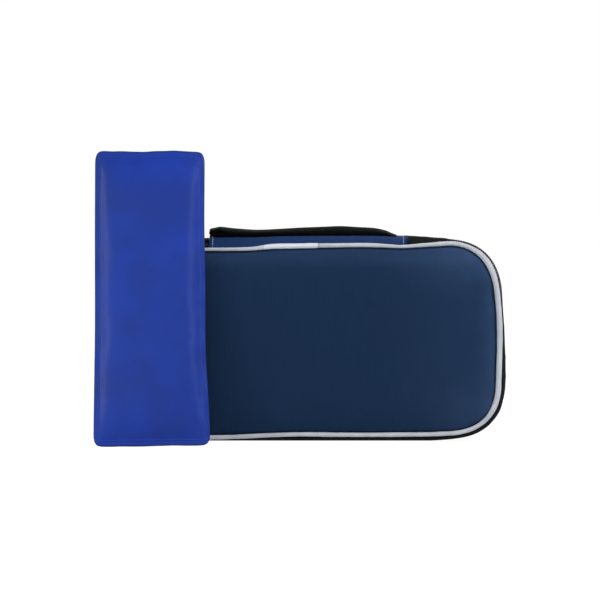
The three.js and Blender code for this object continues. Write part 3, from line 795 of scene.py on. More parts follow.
class Tree:
    """A Geometry Nodes tree with named inputs."""

    def __init__(self, name, **sizes):
        self.group = bpy.data.node_groups.new(name, "GeometryNodeTree")
        self.group.interface.new_socket("Geometry", in_out="INPUT", socket_type="NodeSocketGeometry")
        self.group.interface.new_socket("Geometry", in_out="OUTPUT", socket_type="NodeSocketGeometry")
        self.keys = {}
        for label, value in sizes.items():
            item = self.group.interface.new_socket(label, in_out="INPUT", socket_type="NodeSocketFloat")
            item.default_value = value
            self.keys[label] = item.identifier
        self.start = self.group.nodes.new("NodeGroupInput")
        self.end = self.group.nodes.new("NodeGroupOutput")
        self.sizes = sizes

    def size(self, label):
        return self.start.outputs[label]

    def node(self, kind, settings=None, inputs=None, output=0):
        made = self.group.nodes.new(kind)
        for key, value in (settings or {}).items():
            setattr(made, key, value)
        for key, value in (inputs or {}).items():
            if isinstance(value, bpy.types.NodeSocket):
                self.group.links.new(value, made.inputs[key])
            else:
                made.inputs[key].default_value = value
        return made.outputs[output]

    def circle(self, count, radius):
        inputs = {"Resolution": count, "Radius": radius}
        return self.node("GeometryNodeCurvePrimitiveCircle", {"mode": "RADIUS"}, inputs)

    def moved(self, geometry, **inputs):
        return self.node("GeometryNodeTransform", inputs={"Geometry": geometry, **inputs})

    def repeat(self, points, shape, turn):
        inputs = {"Points": points, "Instance": shape, "Rotation": turn}
        return self.node("GeometryNodeInstanceOnPoints", inputs=inputs)

    def finish(self, geometry, material):
        real = self.node("GeometryNodeRealizeInstances", inputs={0: geometry})
        painted = self.node("GeometryNodeSetMaterial", inputs={0: real, "Material": material})
        self.group.links.new(painted, self.end.inputs[0])

    def grow(self, obj, name):
        """Runs the tree on an object and gives the result as a plain mesh object."""
        modifier = obj.modifiers.new("grow", "NODES")
        modifier.node_group = self.group
        for label, value in self.sizes.items():
            modifier[self.keys[label]] = value
        mesh = evaluated(obj)
        mesh.name = name
        mesh.shade_smooth()
        bpy.data.objects.remove(obj)
        return linked(name, mesh)


def wire_path(lines):
    """Edges through each line's points, for a tree to follow."""
    points, edges = [], []
    for line in lines:
        edges += [(len(points) + i, len(points) + i + 1) for i in range(len(line) - 1)]
        points += [tuple(p) for p in to_frame(line)]
    return edge_object(points, edges)


def edge_object(points, edges):
    mesh = bpy.data.meshes.new("path")
    mesh.from_pydata(points, edges, [])
    return linked("path", mesh)


def along_path(tree, pitch):
    """Points at a pitch along the path, with the turn that lays Z along it and Y across the zip."""
    curve = tree.node("GeometryNodeMeshToCurve", inputs={0: tree.start.outputs[0]})
    even = tree.node("GeometryNodeResampleCurve", {"mode": "LENGTH"}, {"Curve": curve, "Length": pitch})
    tangent = tree.node("GeometryNodeInputTangent")
    first = tree.node("FunctionNodeAlignRotationToVector", {"axis": "Z"}, {"Vector": tangent})
    turn = tree.node("FunctionNodeAlignRotationToVector", {"axis": "Y", "pivot_axis": "Z"},
                     {"Rotation": first, "Vector": (0.0, 1.0, 0.0)})
    return even, turn


def coil_tree(side):
    """One loop of a nylon coil at each pitch, leaning as a wound loop does."""
    tree = Tree("zip_coil", Pitch=COIL_PITCH * MM, Wire=0.00026, Wide=0.00095, Tall=0.00042)
    even, turn = along_path(tree, tree.size("Pitch"))
    shape = tree.node("ShaderNodeCombineXYZ", inputs={0: tree.size("Tall"), 1: tree.size("Wide"), 2: 1.0})
    oval = tree.moved(tree.circle(10, 1.0), Scale=shape)
    leant = tree.moved(oval, Rotation=(0.32 * side, 0.12, 0.0))
    thread = tree.circle(5, tree.size("Wire"))
    tooth = tree.node("GeometryNodeCurveToMesh", inputs={"Curve": leant, "Profile Curve": thread})
    tree.finish(tree.repeat(even, tooth, turn), COIL)
    return tree


def zip_coil(name, side):
    shift = 0 if side == FRONT else COIL_PITCH / 2
    run = Run(ZIP_RUN[0] + shift, ZIP_RUN[1] - shift, 400)
    path = soften(run.place(*COIL_LINE, side), side)
    return coil_tree(side).grow(wire_path([path]), name)


# Stitches: half length, pitch and half thickness in metres, and the thread
STITCHES = {
    "hem": (0.0010, 0.0026, 0.00017, DARK_THREAD),
    "seam": (0.00095, 0.0022, 0.00014, THREAD),
    "band": (0.0009, 0.0022, 0.00017, GREY_THREAD),
    "binding": (0.0010, 0.0025, 0.00017, GREY_THREAD),
}


def sewn(name, kind, lines):
    """A short rounded stitch at each pitch along lines."""
    length, pitch, thick, material = STITCHES[kind]
    tree = Tree("stitches", Pitch=pitch, Length=length, Thick=thick)
    even, turn = along_path(tree, tree.size("Pitch"))
    ball = tree.node("GeometryNodeMeshIcoSphere", inputs={"Radius": 1.0, "Subdivisions": 2})
    across, along = tree.size("Thick"), tree.size("Length")
    shape = tree.node("ShaderNodeCombineXYZ", inputs={0: across, 1: across, 2: along})
    tree.finish(tree.repeat(even, tree.moved(ball, Scale=shape), turn), material)
    return tree.grow(wire_path(lines), name)


def hem_stitches(name, side):
    """The row of stitches that holds the gusset's hem to the zip tape."""
    line = soften(Run(SPINE_END + 1, LOOP - SPINE_END - 1, 400).place(*HEM_LINE, side), side)
    return sewn(name, "hem", [line])


# Spine and handle
SPINE_SAG = 0.25
SPINE_DIP = 0.6
DIP_PLACE = (47, 4)
STITCH_LIFT = 0.1


def spine_top(y):
    return SPINE_EDGE + SPINE_CROWN * (1 - (y / SPINE_REACH) ** SPINE_FULLNESS)


def spine_wave(x, y):
    """The spine follows the piping's waves at its front and rear edges."""
    front = through(x, TOP_WAVE) * ease(-y, 3, 17)
    rear = REAR_SHARE * through(-x, TOP_WAVE) * ease(y, 3, 17)
    return front + rear


def cloth_top(x, y):
    sag = SPINE_SAG * lumps(x, y, 0, 16, 12) * (1 - (y / SPINE_REACH) ** 2) - SPINE_DIP * bell(x, *DIP_PLACE)
    return spine_top(y) + spine_wave(x, y) + sag


def spine_layer(name, reach, upper, lower, material, ends=(-SPINE_END + 0.3, SPINE_END - 0.3), sides=(-1, 1)):
    """A strip along the spine between two heights, each a function of place."""
    x = np.linspace(*ends, 90)[:, None]
    y = reach * np.sin(np.linspace(*(side * math.pi / 2 for side in sides), 56))[None, :]
    above, below = (np.stack(np.broadcast_arrays(x, y, level(x, y)), -1) for level in (upper, lower))
    made = surface(name, np.concatenate([above, below[:, ::-1]], 1), material, around=True, capped=True)
    made.data.set_sharp_from_angle(angle=math.radians(50))
    return made


def spine_crinkle(x, y):
    return SPINE_LINING_TOP - 0.2 + 0.18 * lumps(x, y, 0, 5, 33)


def seam_stitches(name, side):
    """A row of white stitches across one side of the spine, by each end seam."""
    y = side * np.linspace(SPINE_REACH - 0.6, 1.1, 30)
    lines = [np.stack([0 * y + x, y, cloth_top(0 * y + x, y) + STITCH_LIFT], -1) for x in STITCH_ROWS]
    return sewn(name, "seam", lines)


# The handle's line over the spine: [along, height over the spine's top] from the folded left end
STRAP_LINE = [(-37, -0.1), (-43, -0.1), (-46.3, -0.1), (-47.5, 0.06), (-48.6, 0.36), (-49.1, 0.72),
              (-48.75, 0.98), (-47.6, 1.15), (-46, 1.5), (-44, 1.8),
              (-38, 1.2), (-30, 0.5), (-24, 0.3), (-14, 0.85), (-4, 1.5), (6, 1.9), (16, 2.3), (24, 1.85),
              (32, 1.4), (36, 0.7), (39, -0.2), (41.5, -1.3), (44, -2.2)]
STRAP_STEPS = 479
STRAP_SPLIT = 0.62
STRAP_SEAT = 0.3
FRONT_DROOP, REAR_DROOP = 0.9, 0.35
DROOP_FADE = (-47, -36)


def smooth_line(points, count):
    """A Catmull-Rom curve through points, evenly spaced."""
    p = np.array([points[0], *points, points[-1]], float)
    t = np.linspace(0, 1, 12, endpoint=False)[:, None]
    spans = []
    for a, b, c, d in zip(p, p[1:], p[2:], p[3:]):
        bend, twist = 2 * a - 5 * b + 4 * c - d, 3 * b - a - 3 * c + d
        spans.append(0.5 * (2 * b + (c - a) * t + bend * t**2 + twist * t**3))
    line = np.concatenate([*spans, p[-1:]])
    run = running(line)
    even = np.linspace(0, run[-1], count)
    return np.stack([np.interp(even, run, line[:, k]) for k in range(2)], -1)


def ribbon(name, line, width, thick, material, place):
    """A woven strip along a flat curve. place(point, lift, across) puts its points into the case."""
    slope = np.gradient(line, axis=0)
    normal = np.stack([-slope[:, 1], slope[:, 0]], -1) / np.linalg.norm(slope, axis=1)[:, None]
    half, bevel = width / 2, thick * 0.28
    flat = np.linspace(-half + bevel, half - bevel, 11)
    ring = [(-half, 0), *[(y, 0.5) for y in flat], (half, 0), *[(y, -0.5) for y in flat[::-1]]]
    rows = [[place(p, n * level * thick, y) for y, level in ring] for p, n in zip(line, normal)]
    return surface(name, np.array(rows), material, around=True, capped=True)


def strap(name, start, end):
    """A length of the handle's webbing between two shares of its line. Its edges droop where it lifts."""
    line = smooth_line(STRAP_LINE, STRAP_STEPS + 1)
    line = line[int(start * STRAP_STEPS):int(end * STRAP_STEPS) + 1]
    fold = line[:, 0].argmin()
    lifted = np.where(np.arange(len(line)) >= fold, np.clip(line[:, 1], 0, None), 0)
    droops = lifted * ease(line[:, 0], *DROOP_FADE)
    droop_at = {tuple(p): d for p, d in zip(line, droops)}

    def place(point, lift, across):
        share = (across * 2 / WEB_WIDTH) ** 2 * (FRONT_DROOP if across < 0 else REAR_DROOP)
        height = spine_top(across) + STRAP_SEAT + WEB_THICK / 2 + point[1] - droop_at[tuple(point)] * share
        return point[0] + lift[0], across, height + lift[1]

    return ribbon(name, line, WEB_WIDTH, WEB_THICK, WEB, place)


# Inside: foam walls, foil lining, pen bands and mesh pocket
def foam_wall(name, side):
    """The insulating strip behind a gusset, stepped round the zip tape."""
    profile = [(-2.6, 3.9), (0.6, 3.9), (0.6, 9.8), (1.4, 9.8), (1.4, 13.6), (0.7, 14.5), (-2.6, 14.5)]
    return sweep(name, rounded(profile, 0.5), side, FOAM, Run(*ZIP_RUN, 260))


def lining_floor(name, side):
    _, rings, _ = panel_rings(220, LINING_RIM, 12, 30)
    x, z = rings[..., 0], rings[..., 2]
    seed = 51 + side
    creases = np.abs(lumps(x, 0, z, 9, seed)) + 0.5 * np.abs(lumps(x, 0, z, 4, seed + 3))
    face, back = rings.copy(), rings.copy()
    face[..., 1] = side * (LINING_FACE - 0.2 + np.clip(0.5 * creases, 0, 0.4))
    back[..., 1] = side * (LINING_FACE + LINING_SKIN)
    return surface(name, np.concatenate([face[::-1], back], 0), FOIL, around=True, flat_uv=True)


def lining_wall(name, side):
    """The lining up the foam wall, puckered and turned over its edge."""
    run = Run(SPINE_END + 0.5, LOOP - SPINE_END - 0.5, 420)
    deep = [(-LINING_RIM - LINING_SKIN, d) for d in np.linspace(WALL_FACE - 0.1, 4.4, 9)]
    turn = [(-3.2, 3.75), (-2.8, 3.45), (-2.0, 3.4), (-0.4, 3.4), (0.5, 3.42)]
    under = [(0.5, 3.58), (-0.4, 3.62), (-2.0, 3.7), (-2.6, 3.8), (-2.85, 4.4), (-2.9, WALL_FACE - 0.1)]
    profile = deep + turn + under
    depth = np.array([d for _, d in profile])

    def pucker(rows, run):
        bend = 1 + 1.4 * (np.abs(run.nx * run.nz) > 0.02)
        fold = (np.abs(waves(run.s, 91 + side, 1.9)) - 0.3) * 0.3 * bend
        shown = bell(depth, 9.0, 3.6) * (np.arange(len(depth)) < len(deep))
        inward = np.clip(fold, 0, 0.8)[:, None] * shown[None, :]
        rows[..., 0] -= inward * run.nx[:, None]
        rows[..., 2] -= inward * run.nz[:, None]
        return rows

    return sweep(name, profile, side, FOIL, run, pucker)


def joined(name, *objects):
    """One piece of several meshes of the same finish."""
    work = bmesh.new()
    for obj in objects:
        work.from_mesh(obj.data)
    made = from_work(name, work, objects[0].data.materials[0])
    for obj in objects:
        bpy.data.objects.remove(obj)
    return made


def lining(name, side):
    return joined(name, lining_floor("floor_foil", side), lining_wall("wall_foil", side))


def pen_band(name, x):
    """Elastic that lies on the lining at its seams and arches over each pen, drawn in at the crests."""
    base = BAND_BACK - BAND_THICK / 2
    reach, rise = LOOP_WIDTH / 2 - BAND_THICK / 2, LOOP_HEIGHT - BAND_THICK
    angles = np.radians(range(15, 166, 15))
    line = [(LOOP_CENTRES[0] - LOOP_WIDTH / 2 - LOOP_FLAT, base)]
    for centre in LOOP_CENTRES:
        line.append((centre - LOOP_WIDTH / 2 - 1, base))
        line += [(centre - reach * math.cos(a), base - rise * math.sin(a)) for a in angles]
        line.append((centre + LOOP_WIDTH / 2 + 1, base))
    line.append((LOOP_CENTRES[-1] + LOOP_WIDTH / 2 + LOOP_FLAT, base))

    def place(point, lift, across):
        drawn = 1 - 0.05 * (base - point[1]) / rise + 0.006 * math.sin(point[0] * 1.7)
        return x + across * drawn, -(point[1] + lift[1]), point[0] + lift[0]

    return ribbon(name, smooth_line(line, 300), BAND_WIDTH, BAND_THICK, ELASTIC, place)


def band_stitches(name, x):
    """A double row of stitches at each seam of a pen band."""
    half = LOOP_WIDTH / 2 + LOOP_FLAT / 2
    seams = [LOOP_CENTRES[0] - half, *[centre + half for centre in LOOP_CENTRES]]
    across = np.linspace(x - BAND_WIDTH / 2 + 1.5, x + BAND_WIDTH / 2 - 1.5, 20)
    top = BAND_THICK - BAND_BACK - 0.02
    lines = [[(at, top, z + row) for at in across] for z in seams for row in (-0.7, 0.7)]
    return sewn(name, "band", lines)


def inset_at(x, z):
    """Distance of a point inside the case's outline."""
    rise = np.sin(math.pi * (z - EDGE_LOW) / (EDGE_TOP - EDGE_LOW))
    share = np.clip((np.abs(x) - CORNER_X) / CORNER, 0, 1)
    beside = np.abs(x) - share * SIDE_BOW * rise - CORNER_X
    above = np.abs(z - MIDDLE_Z) - (EDGE_TOP - EDGE_LOW) / 2 + CORNER
    outside = np.hypot(np.clip(beside, 0, None), np.clip(above, 0, None))
    return CORNER - outside - np.minimum(np.maximum(beside, above), 0)


def net_depth(inset):
    """The net swells from its rim toward the zip plane."""
    share = np.clip((inset - LINING_RIM) / NET_RUN, 0, 1)
    return NET_RIM - NET_CROWN * (1 - (1 - share) ** 2)


def net_lattice():
    """Diamonds of yarn over the pocket, cut at its outline and under its binding."""
    across, up = 3.2, 1.6
    rows = int((POCKET_TOP + NET_TUCK - EDGE_LOW) / up)
    start = POCKET_TOP + NET_TUCK - rows * up
    columns = int(EDGE_X / across) + 1
    spots, links = {}, []
    for j in range(rows + 1):
        for i in range(-columns, columns + 1):
            spots[i, j] = np.array([(i + 0.5 * (j % 2)) * across, start + j * up])
    for (i, j), spot in spots.items():
        for step in (-1, 0):
            other = spots.get((i + step + j % 2, j + 1))
            if other is not None:
                links.append((spot, other))
    points, edges, index = [], [], {}
    for pair in links:
        depths = [inset_at(*p) - LINING_RIM - 0.1 for p in pair]
        if max(depths) <= 0:
            continue
        if min(depths) < 0:
            inside, outside = (0, 1) if depths[0] > 0 else (1, 0)
            share = depths[inside] / (depths[inside] - depths[outside])
            cut = pair[inside] + (pair[outside] - pair[inside]) * share
            pair = (pair[inside], cut)
        ends = []
        for x, z in pair:
            key = (round(x, 4), round(z, 4))
            if key not in index:
                index[key] = len(points)
                points.append((x, net_depth(inset_at(x, z)), z))
            ends.append(index[key])
        edges.append(tuple(ends))
    return edge_object([tuple(p) for p in to_frame(points)], edges)


def net_tree():
    """A yarn along every edge."""
    tree = Tree("net", Yarn=0.0003)
    lines = tree.node("GeometryNodeMeshToCurve", inputs={0: tree.start.outputs[0]})
    section = tree.circle(4, tree.size("Yarn"))
    inputs = {"Curve": lines, "Profile Curve": section, "Fill Caps": True}
    tree.finish(tree.node("GeometryNodeCurveToMesh", inputs=inputs), NET)
    return tree


def binding_line():
    """The pocket's top edge: across the case, bowed with the net."""
    height = POCKET_TOP + 0.3 + BINDING_HEIGHT / 2
    side = EDGE_X + SIDE_BOW * math.sin(math.pi * (height - EDGE_LOW) / (EDGE_TOP - EDGE_LOW))
    x = (side - LINING_RIM - 0.8) * np.sin(np.linspace(-math.pi / 2, math.pi / 2, 220))
    ripple = 0.12 * waves(x, 71, 2.4) * ease(side - np.abs(x), 4, 12)
    depth = net_depth(side - np.abs(x)) + 0.25 - BINDING_THICK / 2 + ripple
    return np.stack([x, depth], -1), height


def pocket_binding(name):
    """Folded elastic that grips the net's top edge, gathered in small ripples."""
    line, height = binding_line()

    def place(point, lift, across):
        wave = 0.25 * math.sin(point[0] * 0.9) * (across / BINDING_HEIGHT)
        return point[0] + lift[0], point[1] + lift[1] + wave * 0.5, height + across

    return ribbon(name, line, BINDING_HEIGHT, BINDING_THICK, ELASTIC, place)


def binding_stitches(name):
    line, height = binding_line()
    face = BINDING_THICK / 2 + 0.02
    points = [(x, depth - face, height - BINDING_HEIGHT / 2 + 1.2) for x, depth in line[4:-4]]
    return sewn(name, "binding", [points])


# Slider and pull: the solids with their cast edges broken
def broken_edges(name, node, width):
    work = bmesh.new()
    work.from_mesh(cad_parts[node].data)
    bmesh.ops.remove_doubles(work, verts=work.verts, dist=MERGE)
    bmesh.ops.dissolve_limit(work, angle_limit=math.radians(2), verts=work.verts, edges=work.edges)
    edges = [edge for edge in work.edges if edge.calc_face_angle(0) > 0.3]
    bmesh.ops.bevel(work, geom=edges, offset=width * MM, segments=2, profile=0.5, affect="EDGES",
                    clamp_overlap=True)
    made = from_work(name, work, METAL)
    made.data.set_sharp_from_angle(angle=math.radians(40))
    return made


# Gel pack: a welded pouch, drawn flat, blown up as cloth and then leant on the case
POUCH_COLUMNS = 30
POUCH_ROWS = 72
POUCH_RISE = 4.7
BLOW_STEPS = 20
BLOW_LIMIT = 6
BLOW_SHARE = 0.45
RIM_BAND = 9
HOLLOW = 0.55
FLANGE_WAVE = 0.35
PACK_SPARE = 0.3
CLOTH = {
    "quality": 8, "mass": 0.15,
    "tension_stiffness": 60, "compression_stiffness": 60, "shear_stiffness": 30, "bending_stiffness": 3,
    "use_pressure": True, "uniform_pressure_force": 4, "vertex_group_pressure": "blown",
}


def flanged(start, end, count):
    """Grid lines with a flange cell at each end and even cells between."""
    return np.concatenate([[start], np.linspace(start + PACK_FLANGE, end - PACK_FLANGE, count - 1), [end]])


class Pouch:
    """A grid whose outer cells are the flange and whose inner cells are doubled, front and back."""

    def __init__(self):
        self.columns = flanged(-PACK_WIDTH / 2, PACK_WIDTH / 2, POUCH_COLUMNS)
        self.levels = flanged(0, PACK_HEIGHT, POUCH_ROWS)
        self.points = []
        self.index = {}
        for j, z in enumerate(self.levels):
            for i, x in enumerate(self.columns):
                self.index[FRONT, i, j] = self.add(x, z)
                doubled = 1 < i < POUCH_COLUMNS - 1 and 1 < j < POUCH_ROWS - 1
                self.index[REAR, i, j] = self.add(x, z) if doubled else self.index[FRONT, i, j]
        self.flat = np.array(self.points)

    def add(self, x, z):
        self.points.append((x, z))
        return len(self.points) - 1

    def cells(self, flange):
        for j in range(POUCH_ROWS):
            for i in range(POUCH_COLUMNS):
                rim = i in (0, POUCH_COLUMNS - 1) or j in (0, POUCH_ROWS - 1)
                if rim == flange:
                    yield [(i, j), (i + 1, j), (i + 1, j + 1), (i, j + 1)]

    def corners(self, cell, side):
        return [self.index[side, i, j] for i, j in cell]

    def column(self, i):
        return [self.index[FRONT, i, j] for j in range(POUCH_ROWS + 1)]

    def row(self, j):
        return [self.index[FRONT, i, j] for i in range(POUCH_COLUMNS + 1)]

    def pillow(self):
        """The plain swollen shape: how far each point stands from the middle plane."""
        x, z = self.flat.T
        wide = np.clip(np.abs(x) / (PACK_WIDTH / 2 - PACK_FLANGE), 0, 1)
        tall = np.clip(np.abs(z - PACK_HEIGHT / 2) / (PACK_HEIGHT / 2 - PACK_FLANGE), 0, 1)
        rise = POUCH_RISE * (1 - wide**2.4) ** 0.8 * (1 - tall**8) ** 0.8
        back = np.zeros(len(x), bool)
        for cell in self.cells(flange=False):
            back[self.corners(cell, REAR)] = True
        for cell in self.cells(flange=False):
            back[self.corners(cell, FRONT)] = False
        return np.where(back, rise, -rise)

    def blown(self):
        """Points after a cloth simulation with air in the pouch."""
        start = np.stack([self.flat[:, 0], self.pillow() * 0.25, self.flat[:, 1]], -1)
        faces = [self.corners(c, FRONT) for c in self.cells(flange=True)]
        faces += [self.corners(c, FRONT) for c in self.cells(flange=False)]
        faces += [self.corners(c, REAR)[::-1] for c in self.cells(flange=False)]
        mesh = bpy.data.meshes.new("pouch")
        mesh.from_pydata([tuple(p) for p in start * MM], [], faces)
        obj = linked("pouch", mesh)
        inner = {v for c in self.cells(flange=False) for s in (FRONT, REAR) for v in self.corners(c, s)}
        group = obj.vertex_groups.new(name="blown")
        group.add(sorted(inner), 1.0, "REPLACE")
        cloth = obj.modifiers.new("cloth", "CLOTH")
        for key, value in CLOTH.items():
            setattr(cloth.settings, key, value)
        cloth.settings.effector_weights.gravity = 0
        cloth.collision_settings.use_collision = False
        for step in range(1, BLOW_STEPS + 1):
            bpy.context.scene.frame_set(step)
        seen = obj.evaluated_get(bpy.context.evaluated_depsgraph_get())
        moved = np.array([v.co for v in seen.data.vertices]) / MM
        bpy.context.scene.frame_set(1)
        bpy.data.objects.remove(obj)
        return start + np.clip(moved - start, -BLOW_LIMIT, BLOW_LIMIT)

    def shape(self):
        """The blown pouch with its rim drawn straight, slack hollows, a wavy flange and a slight skew."""
        points = self.blown()
        x, y, z = points.T
        left, right = (np.interp(self.flat[:, 1], self.levels, x[self.column(i)]) for i in (0, POUCH_COLUMNS))
        low, top = (np.interp(self.flat[:, 0], self.columns, z[self.row(j)]) for j in (0, POUCH_ROWS))
        x = ((x - left) / (right - left) - 0.5) * PACK_WIDTH
        z = (z - low) / (top - low) * PACK_HEIGHT
        y = BLOW_SHARE * y * POUCH_RISE / np.abs(y).max() + (1 - BLOW_SHARE) * self.pillow()
        rim = 1 - ease(np.minimum(PACK_WIDTH / 2 - np.abs(self.flat[:, 0]), self.flat[:, 1]), 0, RIM_BAND)
        rim = np.maximum(rim, ease(self.flat[:, 1], PACK_HEIGHT - RIM_BAND, PACK_HEIGHT))
        y = y + lumps(x, np.sign(y) * 40, z, 26, 15) * HOLLOW * (1 - rim)
        y = y + FLANGE_WAVE * waves(x + z, 81, 6.0) * rim
        share = z / PACK_HEIGHT
        x = x * (1 - PACK_NARROWING / PACK_WIDTH * share)
        drawn = 0.9 * bell(share, 0.72, 0.2) + 1.4 * bell(share, 0.35, 0.2)
        x = x + 0.9 - 1.3 * share - drawn * ease(x, -5, 25) + 0.4 * bell(share, 0.4, 0.25) * ease(-x, -5, 25)
        lift = (0.5 + x / PACK_WIDTH) * (1 - share)
        wavy = FLANGE_WAVE * waves(x, 82, 6.0) * rim * np.where(share > 0.5, 1, 0.4)
        z = np.maximum(z + 0.9 * lift + wavy, 0.05)
        middle = np.array([0, PACK_HEIGHT / 2])
        reach = np.abs(self.flat - middle) - [PACK_WIDTH / 2 - PACK_CORNER, PACK_HEIGHT / 2 - PACK_CORNER]
        reach = np.clip(reach, 0, None)
        shrink = 1 - reach.max(1) / np.maximum(np.hypot(*reach.T), 0.001)
        shrink = np.where(reach.min(1) > 0, shrink, 0)
        x = x - np.sign(x) * reach[:, 0] * shrink
        z = z - np.sign(self.flat[:, 1] - PACK_HEIGHT / 2) * reach[:, 1] * shrink
        spare = 0.6
        z = z - spare * (self.flat[:, 1] < 0.1) + spare * (self.flat[:, 1] > PACK_HEIGHT - 0.1)
        return np.stack([x, y, z], -1)


def lean(points):
    """From the pouch's own plane to where it leans on the case."""
    turn = np.array(Matrix.Rotation(-PACK_LEAN, 3, "X"))
    thick = FILM_GAP + FILM
    contact = HALF_DEPTH + PIPING + PACK_SPARE
    behind = EDGE_TOP * math.tan(PACK_LEAN) + (thick + POUCH_RISE + PACK_SPARE) / math.cos(PACK_LEAN)
    return points @ turn.T + [PACK_X, -contact - behind, thick * math.sin(PACK_LEAN)]


def subdivided(obj, levels):
    """Applies a smooth subdivision."""
    modifier = obj.modifiers.new("smooth", "SUBSURF")
    modifier.levels = levels
    modifier.render_levels = levels
    mesh = evaluated(obj)
    obj.modifiers.clear()
    obj.data = mesh
    mesh.shade_smooth()
    return obj


def layered(name, pouch, layers, flange, material):
    """Closes two layers of the pouch's cells into one piece. layers holds (side, points), outer first."""
    cells = list(pouch.cells(flange=False)) + (list(pouch.cells(flange=True)) if flange else [])
    points, faces, uvs, edges = [], [], [], {}
    for turn, (side, place) in enumerate(layers):
        base = len(points)
        points += [tuple(p) for p in to_frame(lean(place))]
        for cell in cells:
            face = [base + v for v in pouch.corners(cell, side)]
            flat = [pouch.flat[v] * MM for v in pouch.corners(cell, side)]
            faces.append(face if turn == 0 else face[::-1])
            uvs += flat if turn == 0 else flat[::-1]
            for a, b in zip(cell, cell[1:] + cell[:1]):
                edges[turn, frozenset((a, b))] = edges.get((turn, frozenset((a, b))), []) + [(a, b)]
    count = len(points) // 2
    for (turn, _), found in edges.items():
        if turn == 0 and len(found) == 1:
            a, b = found[0]
            outer = [pouch.index[layers[0][0], *p] for p in (a, b)]
            inner = [pouch.index[layers[1][0], *p] + count for p in (b, a)]
            faces.append(outer[::-1] + inner[::-1])
            uvs += [pouch.flat[v % count] * MM for v in faces[-1]]
    return mesh_object(name, points, faces, material, uvs)


def pack_film(name, pouch, shape, side):
    """One film: its own side bulges, and its rim sways with the other film's."""
    x, y, z = shape.T
    own = np.sign(y) == side
    level = np.where(own, np.abs(y), 0) * side + np.where(own, 0, y) * (np.abs(y) < 0.6)
    layers = [(side, np.stack([x, level + side * off, z], -1)) for off in (FILM_GAP + FILM, FILM_GAP)]
    return subdivided(layered(name, pouch, layers, True, VINYL), 1)


def gel_core(pouch, shape):
    body = shape * [0.985, 0.93, 0.995] + [0, 0, 0.35]
    return layered("gel_core", pouch, [(FRONT, body), (REAR, body)], False, GEL)


def build_half(word, side):
    body = f"{word}_shell"
    skin = panel(f"{word}_panel_cloth", side)
    placed(skin, body, "navy_nylon", f"{word}_panel")
    board = foam_board(f"{word}_insulation_board", side)
    placed(board, body, "foam", f"{word}_foam_board")
    wall = foam_wall(f"{word}_insulation_wall", side)
    placed(wall, body, "foam", f"{word}_foam_wall")
    foil = placed(lining(f"{word}_foil_tray", side), body, "foil_lining", f"{word}_lining")
    placed(piping(f"{word}_piping_cord", side), body, "silver_piping", f"{word}_piping")
    placed(seam_shadow(f"{word}_seam_allowance", side), body, "navy_nylon")
    placed(gusset(f"{word}_gusset_cloth", side), body, "black_nylon", f"{word}_gusset")
    placed(zip_tape(f"{word}_zip_tape_cloth", side), body, "zip_tape", f"{word}_zip_tape")
    placed(zip_coil(f"{word}_zip_teeth", side), body, "zip_coil", f"{word}_zip_coil")
    placed(hem_stitches(f"{word}_hem_stitches", side), body, "black_nylon")


def build_inside():
    for word, x in (("left", -BAND_X), ("right", BAND_X)):
        placed(pen_band(f"{word}_pen_loops", x), "front_shell", "elastic", f"pen_band_{word}")
        placed(band_stitches(f"{word}_loop_stitches", x), "front_shell", "elastic")
    binding = placed(pocket_binding("pocket_edge"), "rear_shell", "elastic", "pocket_binding")
    placed(binding_stitches("pocket_edge_stitches"), "rear_shell", "elastic")
    net = placed(net_tree().grow(net_lattice(), "pocket_net"), "rear_shell", "net", "mesh_pocket")


def build_zip():
    placed(broken_edges("slider_casting", "zip_slider", 0.12), "slider", "slider_metal", "zip_slider")
    placed(broken_edges("pull_tab", "zip_pull", 0.15), "pull", "slider_metal", "zip_pull")


def under(upper, drop):
    """A height that lies below another by a drop."""
    return lambda x, y: upper(x, y) - drop


def flat_at(height):
    """The same height everywhere."""
    return lambda x, y: height + 0 * x * y


def build_spine():
    ends = [spine_layer("spine_end", SPINE_INSIDE, under(cloth_top, PANEL_SKIN + 0.05),
                        flat_at(SPINE_LINING_TOP), BLUE, span) for span in SPINE_ENDS]
    placed(joined("spine_end_cloth", *ends), "spine", "bright_blue_nylon", "spine_panel")
    for word, side in (("front", FRONT), ("rear", REAR)):
        cloth = spine_layer(f"spine_{word}_cloth", SPINE_REACH, cloth_top, under(cloth_top, PANEL_SKIN), BLUE,
                            sides=sorted((0, side)))
        stitches = seam_stitches(f"spine_{word}_stitches", side)
        fold = [tuple(to_frame([0, side * reach, SPINE_EDGE])) for reach in (SPINE_REACH, SPINE_INSIDE + 0.3)]
        for piece, slot in ((cloth, "bright_blue_nylon"), (stitches, "navy_nylon")):
            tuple(fold[0])
            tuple(fold[1])
            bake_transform(piece)
    foam = spine_layer("spine_insulation", SPINE_INSIDE, under(cloth_top, PANEL_SKIN + FOAM_GAP),
                       flat_at(SPINE_FOAM_BASE), FOAM, SPINE_FILL)
    placed(foam, "spine", "foam", "spine_foam")
    foil = spine_layer("spine_foil", SPINE_INSIDE, spine_crinkle, under(spine_crinkle, 0.2), FOIL)
    placed(foil, "spine", "foil_lining", "spine_lining")


# The handle's two webs: shares of its line, x where it is sewn and where it is free, and the nodes
WEBS = {
    "left": (0, STRAP_SPLIT, -44, -12, ["handle_left_tail", "handle_strap"]),
    "right": (STRAP_SPLIT, 1, 45, 16, ["handle_right_tail"]),
}


def build_handle():
    for word, (start, end, sewn_x, free_x, nodes) in WEBS.items():
        web = strap(f"handle_{word}_web", start, end)
        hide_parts(*nodes)
        sewn_at, free_at = (tuple(to_frame([x, 0, 100])) for x in (sewn_x, free_x))
        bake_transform(web)
        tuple(sewn_at)
        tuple(free_at)


